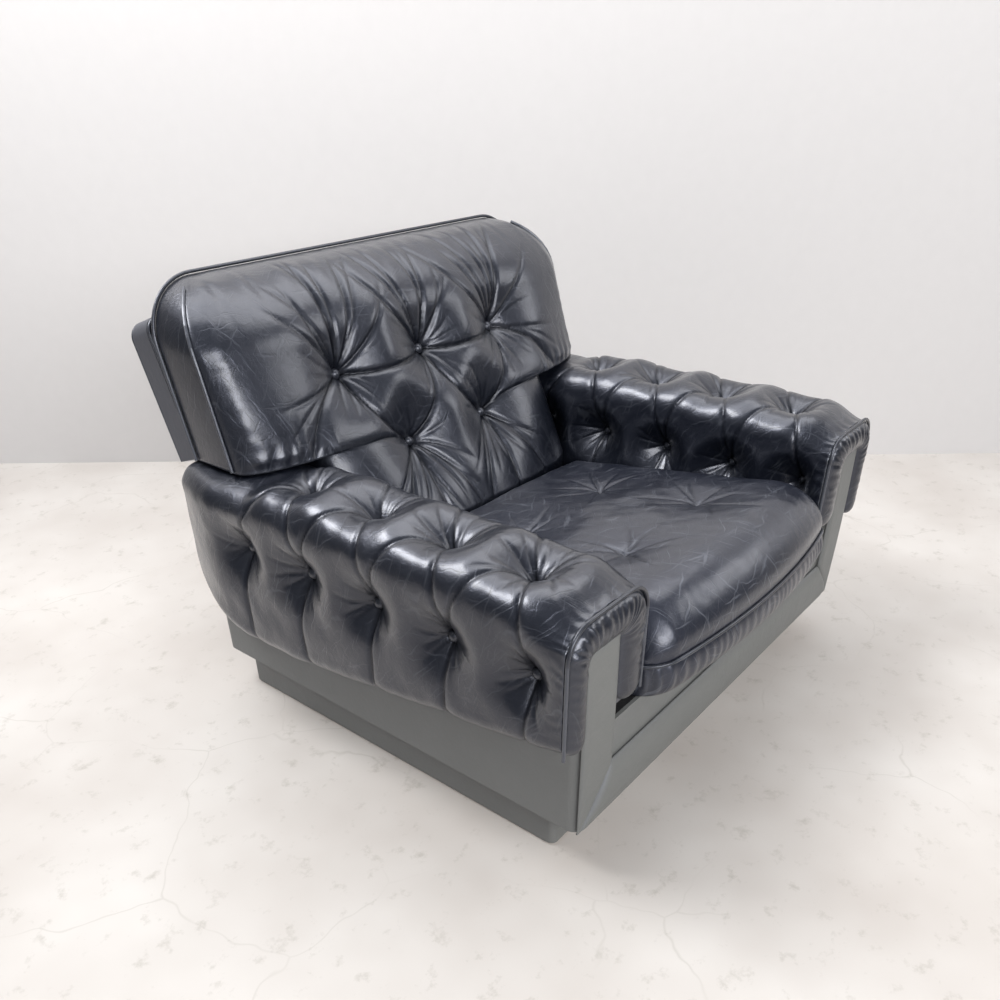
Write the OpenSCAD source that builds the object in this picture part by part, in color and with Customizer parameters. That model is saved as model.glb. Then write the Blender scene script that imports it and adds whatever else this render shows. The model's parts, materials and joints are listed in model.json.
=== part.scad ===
// Deep-buttoned leather lounge armchair on a recessed plinth, in millimetres.
// +Z is up and the sitter faces -Y. The origin is on the floor under the middle of the chair.
// Inside the modules Y is measured from the front of the side panels, towards the back.

/* [Overall] */
// Depth from the nose of the seat to the top of the back
overall_depth = 1022; // [1000:2:1040]
// Width over the two side panels
panel_width = 950; // [900:5:1050]
// Depth of a side panel
panel_depth = 860; // [840:2:880]
// How far the seat's nose stands out past the side panels
nose_overhang = 59; // [50:1:70]
// Thickness of the leather with its backing
leather_t = 2; // [1:0.5:3]
// Diameter of the piping cord in its leather
piping_d = 6; // [4:0.5:8]
// Gap between soft pieces and what they rest against
soft_gap = 0.4; // [0.3:0.1:1]

/* [Plinth] */
// Width of the plinth
plinth_width = 902; // [860:2:920]
// How far the plinth stands back from the front of the side panels
plinth_setback = 61; // [40:1:90]
// How far the plinth stands back from the rear of the side panels
plinth_rear_setback = 40; // [30:1:60]
// Height of the plinth's top above the floor
plinth_top_z = 84; // [70:1:110]
// Thickness of a plinth board
plinth_board_t = 20; // [16:1:28]
// Corner radius of the plinth
plinth_corner_r = 12; // [6:1:20]
// Height of a glide
glide_h = 4; // [3:0.5:8]
// Diameter of a glide
glide_d = 18; // [12:1:20]

/* [Arms] */
// Thickness of an arm inside its pad
arm_t = 80; // [70:1:90]
// Height of the arm's frame above the floor
arm_top_z = 408; // [390:1:430]
// Radius of the side panel's upright front edge
arm_edge_r = 22; // [16:1:26]
// Thickness of the boards on both sides of the arm's frame
arm_board_t = 10; // [6:1:12]
// Width of the arm's posts, front to back
arm_post_w = 70; // [50:1:90]
// Height of the arm's rails
arm_rail_h = 40; // [30:1:60]
// Depth of the leather turned in round the front post
stile_return = 60; // [40:1:90]

/* [Arm pads] */
// Thickness of the pad's outer leg
pad_outer_t = 50; // [44:1:60]
// Thickness of the pad's inner leg
pad_inner_t = 70; // [60:1:74]
// Height of the pad's crown above the floor
pad_crown_z = 508; // [500:1:520]
// Height of the pad's front edge above the floor
pad_front_z = 470; // [455:1:480]
// Height of the pad where the back's ears rest on it
pad_ear_z = 480; // [470:1:482]
// How far the pad stands back past the side panel
pad_rear_overhang = 15; // [5:1:25]
// Lower edge of the outer leg at the front
pad_hem_front_z = 264; // [240:1:290]
// Lowest height of the outer leg's lower edge
pad_hem_low_z = 184; // [170:1:230]
// Lower edge of the inner leg at the front
pad_inner_hem_z = 282; // [262:1:300]
// Spacing of the buttons along the arm
arm_button_pitch = 154; // [140:1:160]
// Depth of the buttoning on the arms
arm_tuft_depth = 45; // [30:1:45]

/* [Buttons] */
// Diameter of a covered button
button_d = 19; // [14:1:22]
// Height of a button's dome
button_h = 6; // [4:0.5:9]

/* [Seat] */
// Width of the seat cushion over its piping
seat_width = 644; // [600:1:646]
// Gap between the seat cushion's rear and the back cushion
seat_rear_gap = 1; // [0.5:0.1:3]
// Depth of the seat cushion, nose to rear
seat_depth = 622; // [600:1:640]
// Height of the seat cushion's underside at the side panels' front
seat_bottom_z = 250; // [235:1:265]
// Slope of the seat, down to the rear, in degrees
seat_slope = 8.7; // [5:0.1:10]
// Height of the seat cushion's border up to its piping
seat_border_h = 56; // [45:1:70]
// Height of the seat cushion at its sides
seat_side_h = 150; // [135:1:160]
// Extra height of the seat's crown
seat_crown = 12; // [6:1:18]
// Radius of the seat's front corners
seat_corner_r = 58; // [40:1:80]
// How far the seat's front edge bows out
seat_bow = 23; // [10:1:35]
// Depth of the seat's sewn tufts
seat_tuft_depth = 20; // [10:1:30]
// Width of a strap of the seat and back webbing
strap_w = 50; // [40:1:60]

/* [Back cushion] */
// Width of the back cushion over its ears
back_width = 956; // [900:2:970]
// Width of the back cushion between the arms
stem_width = 640; // [600:2:641]
// Height of the back cushion's top above the floor
back_top_z = 763; // [740:1:790]
// Height of the ears' underside above the floor
ear_bottom_z = 484; // [483:1:500]
// Thickness of the back cushion's sides, front to back
back_side_t = 108; // [90:1:120]
// Recline of the back cushion's rear, in degrees
back_recline = 14; // [12:0.5:15]
// Recline of the back cushion's front face, in degrees
lounge_angle = 25; // [22:0.5:27]
// Height where the cushion's front face starts to recline
knee_z = 318; // [300:1:330]
// Radius of the back cushion's top corners
back_corner_r = 100; // [80:1:130]
// Depth of the buttoning on the back
back_tuft_depth = 60; // [40:1:70]
// Spacing of the back's buttons along a row
back_button_pitch = 217; // [200:1:230]
// Height of the upper row of the back's buttons
back_upper_z = 582; // [570:1:600]
// Height of the lower row of the back's buttons
back_lower_z = 440; // [430:1:450]

/* [Back shell] */
// Width of the back shell
shell_width = 950; // [900:2:960]
// Thickness of the back shell
shell_t = 64; // [56:1:70]
// Recline of the back shell, in degrees
shell_recline = 19; // [18:0.5:20]
// Length of the back shell along its slope
shell_len = 245; // [235:1:255]
// Radius of the back shell's top corners
shell_corner_r = 28; // [20:1:50]

/* [Hidden] */

// Colours of the leather, timber, webbing, cloth and metal
leather_c = [0.11, 0.12, 0.14];
seat_c = [0.16, 0.17, 0.19];
wood_c = [0.70, 0.53, 0.34];
board_c = [0.62, 0.48, 0.33];
strap_c = [0.20, 0.15, 0.11];
cloth_c = [0.25, 0.25, 0.26];
metal_c = [0.62, 0.63, 0.65];

// Cuts run past the faces that they cut by this much
overrun = 5;

// Side panels, from the middle of the chair
panel_front_y = nose_overhang - overall_depth / 2;
half_panel = panel_width / 2;
arm_inner_x = half_panel - arm_t;
// Posts stand just behind the curve of the panel's edge
post_inset_share = 0.3;
post_front_y = arm_edge_r * post_inset_share;
post_low_x = arm_inner_x + leather_t + arm_board_t;
post_high_x = half_panel - leather_t - arm_board_t;
piping_r = piping_d / 2;
piping_seat = piping_d + soft_gap;

// Height of the fold between the two front strips, and how far the upper one stands back
fold_z = 176;
strip_recess = 6;
// Thickness of the padding under the lower strip, and of the rails
front_pad_t = 10;
rail_t = 22;
// How far the leather hangs below the arms, and the gap in a seam
cover_drop = 2;
seam_gap = 0.4;

// Deck under the seat: cloth on cross straps on long straps
cloth_t = 1.5;
strap_t = 2;
long_strap_count = 6;
cross_strap_count = 4;
deck_rear_y = 640;
foot_rail_y = 700;
foot_rail_w = 80;
foot_rail_h = 46;
seat_rear_y = seat_depth - nose_overhang;

// Back shell, whose front meets the arms' height at the base point
shell_run = shell_len * sin(shell_recline) + shell_t * cos(shell_recline);
shell_base_y = overall_depth / 2 - shell_run - panel_front_y;
shell_base_drop = 7;
shell_base_z = ear_bottom_z - shell_base_drop;
shell_foot = 8;
cushion_base_y = shell_base_y - soft_gap;

function deck_z(y) = seat_bottom_z - y * tan(seat_slope);
function smooth(t) = t <= 0 ? 0 : (t >= 1 ? 1 : t * t * (3 - 2 * t));
function mix(a, b, t) = a + (b - a) * t;
function power(x, p) = x <= 0 ? 0 : pow(x, p);
// Share of a quarter round reached at distance d from an edge
function roll(d, r) = d >= r ? 1 : sqrt(1 - pow(1 - max(d, 0) / r, 2));
// Dimple round a button, and pleat along a line from a to b
function dimple(d, r) = power(1 - d / r, 1.4);
function line_distance(p, a, b) =
    let (v = b - a, t = max(0, min(1, ((p - a) * v) / (v * v)))) norm(p - a - v * t);
function pleat(p, a, b, w) = exp(-pow(line_distance(p, a, b) / w, 2));

// Places pieces that are measured from the front of the side panels
module from_panel_front() {
    translate([0, panel_front_y, 0]) children();
}

// Leaves a piece on the sitter's left, or mirrors it to the right
module side(which) {
    if (which == "right") {
        mirror([1, 0, 0]) children();
    } else {
        children();
    }
}

// Triangles round a stack of point loops that hold count points each
function loop_faces(count, loops) =
    [for (j = [0 : loops - 2]) for (i = [0 : count - 1]) each
        let (a = j * count + i, b = j * count + (i + 1) % count)
        [[a, b, b + count], [a, b + count, a + count]]];
// Triangles that close an end: runs of points, each joined to one hub point of its loop
function fan(start, hub, from, to, turn) = [for (i = [from : to - 1])
    turn ? [start + hub, start + i + 1, start + i] : [start + hub, start + i, start + i + 1]];

module box(low, high) {
    translate(low) cube(high - low);
}

module rounded_rect(low, high, r) {
    translate(low + [r, 0]) square([high[0] - low[0] - 2 * r, high[1] - low[1]]);
    translate(low + [0, r]) square([high[0] - low[0], high[1] - low[1] - 2 * r]);
    for (x = [low[0] + r, high[0] - r]) for (y = [low[1] + r, high[1] - r]) {
        translate([x, y]) circle(r = r, $fn = 48);
    }
}

// A straight stretch of piping between two points
module cord(a, b) {
    v = b - a;
    translate(a) rotate([0, acos(v[2] / norm(v)), atan2(v[1], v[0])])
        cylinder(h = norm(v), r = piping_r, $fn = 24);
}

// A stretch of piping round a corner, in the plane of X and Y
module cord_bend(centre, bend_r, from, sweep, steps = 64) {
    translate(concat(centre, 0)) rotate([0, 0, from])
        rotate_extrude(angle = sweep, $fn = steps)
            translate([bend_r, 0]) circle(r = piping_r, $fn = 24);
}

// Extrudes a drawing of X and height from one depth back to another
module upright(front, rear) {
    translate([0, rear, 0]) rotate([90, 0, 0]) linear_extrude(rear - front) children();
}

// Plinth: a ring of boards in a leather cover, cut into four near the corners
module plinth_outline(inset) {
    rounded_rect([-plinth_width / 2 + inset, plinth_setback + inset],
        [plinth_width / 2 - inset, panel_depth - plinth_rear_setback - inset],
        plinth_corner_r - inset);
}

module plinth_inside() {
    inset = leather_t + plinth_board_t;
    translate([-plinth_width / 2 + inset, plinth_setback + inset])
        square([plinth_width - 2 * inset,
            panel_depth - plinth_rear_setback - plinth_setback - 2 * inset]);
}

// The first child outline less the second, raised from the glides to the plinth's top
module plinth_ring() {
    from_panel_front() translate([0, 0, glide_h])
        linear_extrude(plinth_top_z - glide_h) difference() {
            children(0);
            children(1);
        }
}

// Front and rear quarters run across, and the sides fit between them
module plinth_zone(which, depth) {
    front = plinth_setback + depth;
    rear = panel_depth - plinth_rear_setback - depth;
    half = plinth_width / 2 + overrun;
    low_y = which == "front" ? plinth_setback - overrun : (which == "rear" ? rear : front);
    high_y = which == "front" ? front : (which == "rear" ? panel_depth : rear);
    low_x = which == "left" ? plinth_width / 2 - depth : -half;
    high_x = which == "right" ? depth - plinth_width / 2 : half;
    from_panel_front() box([low_x, low_y, 0], [high_x, high_y, plinth_top_z + overrun]);
}

module plinth_board(which) {
    color(wood_c) intersection() {
        plinth_ring() {
            plinth_outline(leather_t);
            plinth_inside();
        }
        plinth_zone(which, leather_t + plinth_board_t);
    }
}

module plinth_cover(which) {
    color(leather_c) intersection() {
        plinth_ring() {
            plinth_outline(0);
            plinth_outline(leather_t);
        }
        plinth_zone(which, plinth_corner_r);
    }
}

module plinth_side_covers() {
    plinth_cover("left");
    plinth_cover("right");
}

module glides() {
    inset = leather_t + plinth_board_t / 2;
    low_y = plinth_setback + 2 * inset;
    high_y = panel_depth - plinth_rear_setback - 2 * inset;
    color("dimgray") from_panel_front() for (x = [-1, 1] * (plinth_width / 2 - inset))
        for (y = [low_y, (low_y + high_y) / 2, high_y])
            translate([x, y, 0]) cylinder(h = glide_h, d = glide_d, $fn = 32);
}

// Arms: posts and rails between two boards, in a leather cover
module arm_outer_board(which) {
    color(board_c) side(which) from_panel_front()
        box([post_high_x, arm_edge_r, plinth_top_z],
            [half_panel - leather_t, panel_depth - arm_edge_r, arm_top_z]);
}

module arm_inner_board(which) {
    color(board_c) side(which) from_panel_front() difference() {
        box([arm_inner_x + leather_t, post_front_y, plinth_top_z],
            [post_low_x, panel_depth - post_front_y, arm_top_z]);
        arm_bolt_shanks(bolt_d + bolt_play);
    }
}

module arm_post(which, y) {
    color(wood_c) side(which) from_panel_front()
        box([post_low_x, y, plinth_top_z], [post_high_x, y + arm_post_w, arm_top_z]);
}

module arm_front_post(which) {
    arm_post(which, post_front_y);
}

module arm_rear_post(which) {
    arm_post(which, panel_depth - post_front_y - arm_post_w);
}

module arm_rail(which, z) {
    color(wood_c) side(which) from_panel_front()
        box([post_low_x, post_front_y + arm_post_w, z],
            [post_high_x, panel_depth - post_front_y - arm_post_w, z + arm_rail_h]);
}

module arm_top_rail(which) {
    arm_rail(which, arm_top_z - arm_rail_h);
}

module arm_bottom_rail(which) {
    arm_rail(which, plinth_top_z);
}

// Leather of one arm, wrapped round to the inside of the front post
module arm_cover(which) {
    color(leather_c) side(which) from_panel_front() difference() {
        union() {
            translate([0, 0, plinth_top_z - cover_drop])
                linear_extrude(arm_top_z - plinth_top_z + cover_drop) difference() {
                    rounded_rect([arm_inner_x - arm_t, 0], [half_panel, panel_depth], arm_edge_r);
                    rounded_rect([arm_inner_x - arm_t, leather_t],
                        [half_panel - leather_t, panel_depth - leather_t],
                        arm_edge_r - leather_t);
                    translate([arm_inner_x - 2 * arm_t, -overrun])
                        square([2 * arm_t, panel_depth + 2 * overrun]);
                }
            box([arm_inner_x, 0, plinth_top_z - cover_drop],
                [arm_inner_x + leather_t, stile_return, arm_top_z]);
        }
        upright(-overrun, arm_edge_r) mitre_outline(seam_gap);
    }
}

// The lower front strip widens downwards along its mitred seams
module mitre_outline(gap) {
    low_z = plinth_top_z - cover_drop - gap;
    low_x = half_panel + gap;
    top_x = arm_inner_x + gap;
    polygon([[-low_x, low_z], [low_x, low_z], [top_x, fold_z + gap], [-top_x, fold_z + gap]]);
}

module front_lower_cover() {
    color(leather_c) from_panel_front() {
        intersection() {
            translate([0, 0, plinth_top_z - cover_drop])
                linear_extrude(fold_z - plinth_top_z + cover_drop) difference() {
                    rounded_rect([-half_panel, 0], [half_panel, panel_depth], arm_edge_r);
                    rounded_rect([-half_panel + leather_t, leather_t],
                        [half_panel - leather_t, panel_depth], arm_edge_r - leather_t);
                }
            upright(-overrun, arm_edge_r) mitre_outline(0);
        }
        box([seam_gap - arm_inner_x, leather_t / 2, plinth_top_z - cover_drop],
            [arm_inner_x - seam_gap, leather_t + front_pad_t, fold_z]);
    }
}

module front_upper_cover() {
    low_y = strip_recess;
    high_y = leather_t + front_pad_t;
    color(leather_c) from_panel_front()
        box([-arm_inner_x, low_y, fold_z], [arm_inner_x, high_y, deck_z(high_y) - soft_gap]);
}

// Sloping side view of a rail, pushed through its thickness along X
module sloped_rail(low_x, high_x, low_y, high_y, drop) {
    translate([low_x, 0, 0]) rotate([90, 0, 90]) linear_extrude(high_x - low_x)
        polygon([[low_y, plinth_top_z], [high_y, plinth_top_z],
            [high_y, deck_z(high_y) - drop], [low_y, deck_z(low_y) - drop]]);
}

// Heights down through the sloped layers of the deck
cloth_drop = soft_gap + cloth_t / cos(seat_slope);
cross_drop = cloth_drop + strap_t / cos(seat_slope);
long_drop = cross_drop + strap_t / cos(seat_slope);

module front_rail() {
    low_y = leather_t + front_pad_t;
    color(wood_c) from_panel_front()
        sloped_rail(-arm_inner_x, arm_inner_x, low_y, low_y + rail_t, long_drop);
}

module seat_rail(which) {
    color(wood_c) side(which) from_panel_front() difference() {
        union() {
            sloped_rail(arm_inner_x - rail_t, arm_inner_x, leather_t + front_pad_t + rail_t,
                foot_rail_y, cross_drop);
            sloped_rail(arm_inner_x, arm_inner_x + leather_t, stile_return, foot_rail_y,
                cross_drop);
        }
        arm_bolt_shanks(bolt_d + bolt_play);
    }
}

module rear_seat_rail() {
    color(wood_c) from_panel_front()
        sloped_rail(rail_t - arm_inner_x, arm_inner_x - rail_t, deck_rear_y - rail_t,
            deck_rear_y, long_drop);
}

// Bolts that hold the seat rails to the arms: distance along, height and size
bolt_y = [130, 520];
bolt_z = 146;
bolt_d = 8;
bolt_head_d = 14;
bolt_head_t = 5;
bolt_play = 0.4;

module arm_bolt_shanks(d) {
    for (y = bolt_y) translate([arm_inner_x - rail_t - overrun, y, bolt_z])
        rotate([0, 90, 0])
            cylinder(h = rail_t + leather_t + arm_board_t + overrun, d = d, $fn = 32);
}

module arm_bolts() {
    color(metal_c) for (which = ["left", "right"]) side(which) from_panel_front() {
        arm_bolt_shanks(bolt_d);
        for (y = bolt_y) for (x = [post_low_x, arm_inner_x - rail_t - bolt_head_t])
            translate([x, y, bolt_z]) rotate([0, 90, 0])
                cylinder(h = bolt_head_t, d = bolt_head_d, $fn = 32);
    }
}

// Webbing, cloth and dust cover follow the slope of the deck
module on_deck(drop) {
    from_panel_front() translate([0, 0, seat_bottom_z - drop]) rotate([-seat_slope, 0, 0])
        children();
}

module seat_webbing() {
    low_y = (leather_t + front_pad_t) / cos(seat_slope);
    high_y = deck_rear_y / cos(seat_slope);
    half_x = arm_inner_x - rail_t;
    color(strap_c) {
        on_deck(long_drop) for (i = [1 : long_strap_count])
            translate([mix(-half_x, half_x, i / (long_strap_count + 1)) - strap_w / 2, low_y, 0])
                cube([strap_w, high_y - low_y, strap_t]);
        on_deck(cross_drop) for (i = [1 : cross_strap_count])
            translate([-arm_inner_x, mix(low_y, high_y, i / (cross_strap_count + 1)), 0])
                cube([2 * arm_inner_x, strap_w, strap_t]);
    }
}

module deck_cloth() {
    low_y = (leather_t + front_pad_t) / cos(seat_slope);
    color(cloth_c) on_deck(cloth_drop)
        translate([-arm_inner_x, low_y, 0])
            cube([2 * arm_inner_x, deck_rear_y / cos(seat_slope) - low_y, cloth_t]);
}

module dust_cloth() {
    inset = leather_t + plinth_board_t;
    color(cloth_c) from_panel_front()
        box([-plinth_width / 2 + inset, plinth_setback + inset, plinth_top_z - cloth_t],
            [plinth_width / 2 - inset, panel_depth - plinth_rear_setback - inset, plinth_top_z]);
}

module back_foot_rail() {
    half_x = arm_inner_x + leather_t;
    color(wood_c) from_panel_front() box([-half_x, foot_rail_y, plinth_top_z],
        [half_x, foot_rail_y + foot_rail_w, plinth_top_z + foot_rail_h]);
}

// Padded leather panel that closes the back between the arms
rear_pad_t = 8;
rear_step_z = 240;
module rear_lower_cover() {
    half_low = arm_inner_x - seam_gap;
    half_high = arm_inner_x - pad_inner_t - leather_t;
    top_z = shell_base_z - (panel_depth - shell_base_y) * tan(shell_recline)
        + shell_foot - soft_gap;
    color(leather_c) from_panel_front() upright(panel_depth - rear_pad_t, panel_depth)
        union() {
            translate([-half_low, plinth_top_z - cover_drop])
                square([2 * half_low, rear_step_z - plinth_top_z + cover_drop]);
            translate([-half_high, plinth_top_z])
                square([2 * half_high, top_z - plinth_top_z]);
        }
}

// The shell's own frame: X across, Y from its front to its rear, Z up its slope
module in_shell() {
    from_panel_front() translate([0, shell_base_y, shell_base_z])
        rotate([-shell_recline, 0, 0]) children();
}

band_t = 3;
stile_w = 50;
stile_t = 20;
stile_x = 262;
shell_rail_h = 40;
shell_frame_t = shell_t - 4 * band_t - 2 * piping_d;

module shell_outline(inset) {
    half = shell_width / 2 - inset;
    r = shell_corner_r - inset;
    difference() {
        rounded_rect([-half, -shell_len], [half, shell_len - inset], r);
        translate([-shell_width, -2 * shell_len])
            square([2 * shell_width, 2 * shell_len + shell_foot + inset]);
    }
}

module shell_front_cover() {
    color(leather_c) in_shell() upright(0, piping_d) shell_outline(piping_seat);
}

module shell_rear_cover() {
    color(leather_c) in_shell() upright(shell_t - piping_d, shell_t) shell_outline(piping_seat);
}

module shell_band() {
    color(leather_c) in_shell() difference() {
        upright(piping_seat, shell_t - piping_seat) difference() {
            shell_outline(0);
            shell_outline(band_t);
        }
        for (x = [-stile_x - stile_w, stile_x])
            box([x - soft_gap, frame_low_y - soft_gap, 0],
                [x + stile_w + soft_gap, frame_low_y + stile_t + soft_gap,
                    shell_foot + band_t + overrun]);
    }
}

module shell_piping() {
    half = shell_width / 2 - piping_r;
    r = shell_corner_r - piping_r;
    bend_z = shell_len - shell_corner_r;
    color(leather_c) for (y = [piping_r, shell_t - piping_r]) in_shell() translate([0, y, 0]) {
        for (x = [-half, half]) cord([x, 0, shell_foot], [x, 0, bend_z]);
        cord([r - half, 0, shell_len - piping_r], [half - r, 0, shell_len - piping_r]);
        rotate([90, 0, 0]) {
            cord_bend([half - r, bend_z], r, 0, 90);
            cord_bend([r - half, bend_z], r, 90, 90);
        }
    }
}

// Timber inside the shell, and the stiles that carry it down to the foot rail
frame_low_y = 2 * band_t + piping_d;
frame_high_y = frame_low_y + shell_frame_t;
shell_inner_x = shell_width / 2 - band_t - shell_corner_r;

module back_stile(which) {
    color(wood_c) side(which) difference() {
        in_shell() box([stile_x, frame_low_y, -2 * shell_len],
            [stile_x + stile_w, frame_low_y + stile_t, shell_len - band_t - shell_rail_h]);
        from_panel_front() {
            box([0, 0, -overrun], [half_panel, panel_depth, plinth_top_z + foot_rail_h]);
            box([0, panel_depth - rear_pad_t - soft_gap, 0],
                [half_panel, panel_depth, shell_base_z]);
        }
    }
}

// Low rail and lining of the back, as shares of the shell's length below its base
back_rail_share = 1.38;
back_lining_share = 1.3;
back_strap_rows = [-3, -2, -1, 1, 2];
back_strap_pitch = 80;
back_strap_drop = 12;

module back_bottom_rail() {
    low_z = -back_rail_share * shell_len;
    color(wood_c) in_shell() box([-stile_x, frame_low_y, low_z],
        [stile_x, frame_high_y, low_z + shell_rail_h]);
}

module back_lower_rail() {
    low_z = shell_foot + band_t;
    outer_x = stile_x + stile_w;
    color(wood_c) in_shell() {
        for (x = [-shell_inner_x, outer_x]) box([x, frame_low_y, low_z],
            [x + shell_inner_x - outer_x, frame_high_y, low_z + shell_rail_h]);
        box([-stile_x, frame_low_y, low_z], [stile_x, frame_high_y, low_z + shell_rail_h]);
    }
}

module back_top_rail() {
    high_z = shell_len - band_t;
    color(wood_c) in_shell() box([-shell_inner_x, frame_low_y, high_z - shell_rail_h],
        [shell_inner_x, frame_high_y, high_z]);
}

module back_wing_posts() {
    color(wood_c) for (which = ["left", "right"]) side(which) in_shell()
        box([shell_inner_x, frame_low_y, shell_foot + band_t],
            [shell_width / 2 - band_t, frame_high_y, shell_len - shell_corner_r]);
}

module back_webbing() {
    half_x = stile_x + stile_w;
    strap_y = frame_low_y - strap_t;
    color(strap_c) in_shell() for (k = back_strap_rows)
        translate([-half_x, strap_y, k * back_strap_pitch - back_strap_drop])
            cube([2 * half_x, strap_t, strap_w]);
}

module back_lining() {
    half_x = stile_x + stile_w;
    color(cloth_c) in_shell() box([-half_x, 0, -back_lining_share * shell_len],
        [half_x, frame_low_y - strap_t, shell_foot - soft_gap]);
}

// Arm pads: a padded saddle over each arm, buttoned in three rows
pad_outer_x = half_panel + pad_outer_t;
pad_inner_x = arm_inner_x - pad_inner_t;
pad_mid_x = (pad_outer_x + pad_inner_x) / 2;
pad_half = (pad_outer_x - pad_inner_x) / 2;
pad_front_r = 50;
pad_start_y = piping_d / 2;
pad_rear_y = panel_depth + pad_rear_overhang;
// Height where the pad's legs turn into its rounded top
pad_spring_z = 424;

// First button of each row from the front, the rows' lengths and their heights
outer_row_y = 69;
outer_row_count = 5;
outer_row_z = 363;
top_row_y = 122;
top_row_count = 4;
inner_row_y = 61;
inner_row_count = 5;
inner_row_z = 360;
// Size of the dimple round a button, and of the pleats between the buttons
arm_dimple_r = 98;
pleat_w = 15;
pleat_depth = 16;
top_dimple_share = 1.46;
inner_dimple_share = 1.4;
// Share of the way to the first button over which the front's leather starts to sink
front_rise_share = 0.8;
// The dimples stop short of the arm inside the pad
sink_limit_share = 0.9;
outer_sink = min(arm_tuft_depth, sink_limit_share * pad_outer_t);
top_sink = top_dimple_share * arm_tuft_depth;
inner_sink = min(inner_dimple_share * arm_tuft_depth, sink_limit_share * pad_inner_t);
// Distance over the pad from the middle of its top to where its legs start
arch_len = 150;
outer_across = arch_len + pad_spring_z - outer_row_z;
inner_across = -arch_len - pad_spring_z + inner_row_z;

module pad_front_outline(inset) {
    difference() {
        rounded_rect([pad_inner_x + inset, pad_hem_low_z],
            [pad_outer_x - inset, pad_front_z - inset], pad_front_r - inset);
        translate([0, pad_hem_low_z]) square([pad_mid_x, pad_inner_hem_z - pad_hem_low_z]);
        translate([pad_mid_x, pad_hem_low_z])
            square([pad_half, pad_hem_front_z - pad_hem_low_z]);
        translate([arm_inner_x - soft_gap, pad_hem_low_z])
            square([arm_t + 2 * soft_gap, arm_top_z + soft_gap - pad_hem_low_z]);
    }
}

module arm_border(which) {
    color(leather_c) side(which) from_panel_front()
        upright(pad_start_y - soft_gap - piping_d, pad_start_y - soft_gap)
            pad_front_outline(piping_seat);
}

module arm_piping(which) {
    r = pad_front_r - piping_r;
    outer_x = pad_outer_x - piping_r;
    inner_x = pad_inner_x + piping_r;
    bend_z = pad_front_z - pad_front_r;
    top_z = pad_front_z - piping_r;
    color(leather_c) side(which) from_panel_front()
        translate([0, pad_start_y - soft_gap - piping_r, 0]) {
            cord([outer_x, 0, pad_hem_front_z], [outer_x, 0, bend_z]);
            cord([inner_x, 0, pad_inner_hem_z], [inner_x, 0, bend_z]);
            cord([inner_x + r, 0, top_z], [outer_x - r, 0, top_z]);
            rotate([90, 0, 0]) {
                cord_bend([outer_x - r, bend_z], r, 0, 90);
                cord_bend([inner_x + r, bend_z], r, 90, 90);
            }
        }
}

// The pad sinks under the back's ears, over this distance in front of them
ear_clear = 45;
ear_front_y = cushion_base_y - back_side_t - ear_clear;
ear_fall = 65;
function pad_top(y) = y < ear_front_y - ear_fall
    ? mix(pad_front_z, pad_crown_z, smooth((y - pad_start_y) / pad_front_r))
    : y < ear_front_y
    ? mix(pad_crown_z, pad_ear_z, smooth((y - ear_front_y + ear_fall) / ear_fall))
    : mix(pad_ear_z, pad_spring_z, power((y - ear_front_y) / (pad_rear_y - ear_front_y), 6));

// Lower edges of the legs: falling towards the rear, and rounded up at the rear corner
hem_low_y = 576;
hem_turn_y = 726;
hem_turn_rise = 115;
function outer_hem(y) = mix(pad_hem_front_z, pad_hem_low_z, min(1, y / hem_low_y))
    + hem_turn_rise * power((y - hem_turn_y) / (pad_rear_y - hem_turn_y), 2);
function inner_hem(y) =
    mix(pad_inner_hem_z, rear_step_z + leather_t, y / pad_rear_y);

function row_y(first, k) = first + k * arm_button_pitch;
function row_dimple(p, across, first, last) =
    max([for (k = [0 : last]) dimple(norm(p - [across, row_y(first, k)]), arm_dimple_r)]);
function arm_pleats(p) = max([for (k = [0 : top_row_count - 1]) for (j = [k, k + 1]) each
    let (top = [0, row_y(top_row_y, k)])
    [pleat(p, top, [outer_across, row_y(outer_row_y, j)], pleat_w),
     pleat(p, top, [inner_across, row_y(inner_row_y, j)], pleat_w),
     pleat(p, [outer_across, row_y(outer_row_y, j)],
        [2 * outer_across, row_y(outer_row_y, j)], pleat_w)]]);
function arm_sink(p) = max(
    outer_sink * row_dimple(p, outer_across, outer_row_y, outer_row_count - 1),
    top_sink * row_dimple(p, 0, top_row_y, top_row_count - 1),
    inner_sink * row_dimple(p, inner_across, inner_row_y, inner_row_count - 1),
    pleat_depth * arm_pleats(p))
    * smooth((p[1] - pad_start_y) / (front_rise_share * (inner_row_y - pad_start_y)));

// Points of one section of the pad, each sunk along its own direction into the pad
arch_steps = 6;
leg_steps = 6;
hem_tuck_share = 0.45;
arch_power = 0.75;
function leg_drop(k, row_drop, hem_drop) = k <= 3
    ? k * row_drop / 2
    : mix(3 * row_drop / 2, hem_drop, (k - 3) / (leg_steps - 3));
function leg_point(k, y, x, into, row_drop, hem_drop, t) =
    let (d = leg_drop(k, row_drop, hem_drop), a = -sign(into) * (arch_len + d),
        tuck = k == leg_steps ? hem_tuck_share * t : 0)
    [x + into * max(tuck, min(arm_sink([a, y]), sink_limit_share * t)), y, pad_spring_z - d];
function arch_point(k, y) =
    let (f = 90 * k / arch_steps, s = arm_sink([arch_len * k / arch_steps, y]))
    [pad_mid_x + pad_half * sign(f) * power(sin(abs(f)), arch_power) - s * sin(f), y,
        pad_spring_z + (pad_top(y) - pad_spring_z) * power(cos(f), arch_power) - s * cos(f)];
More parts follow.
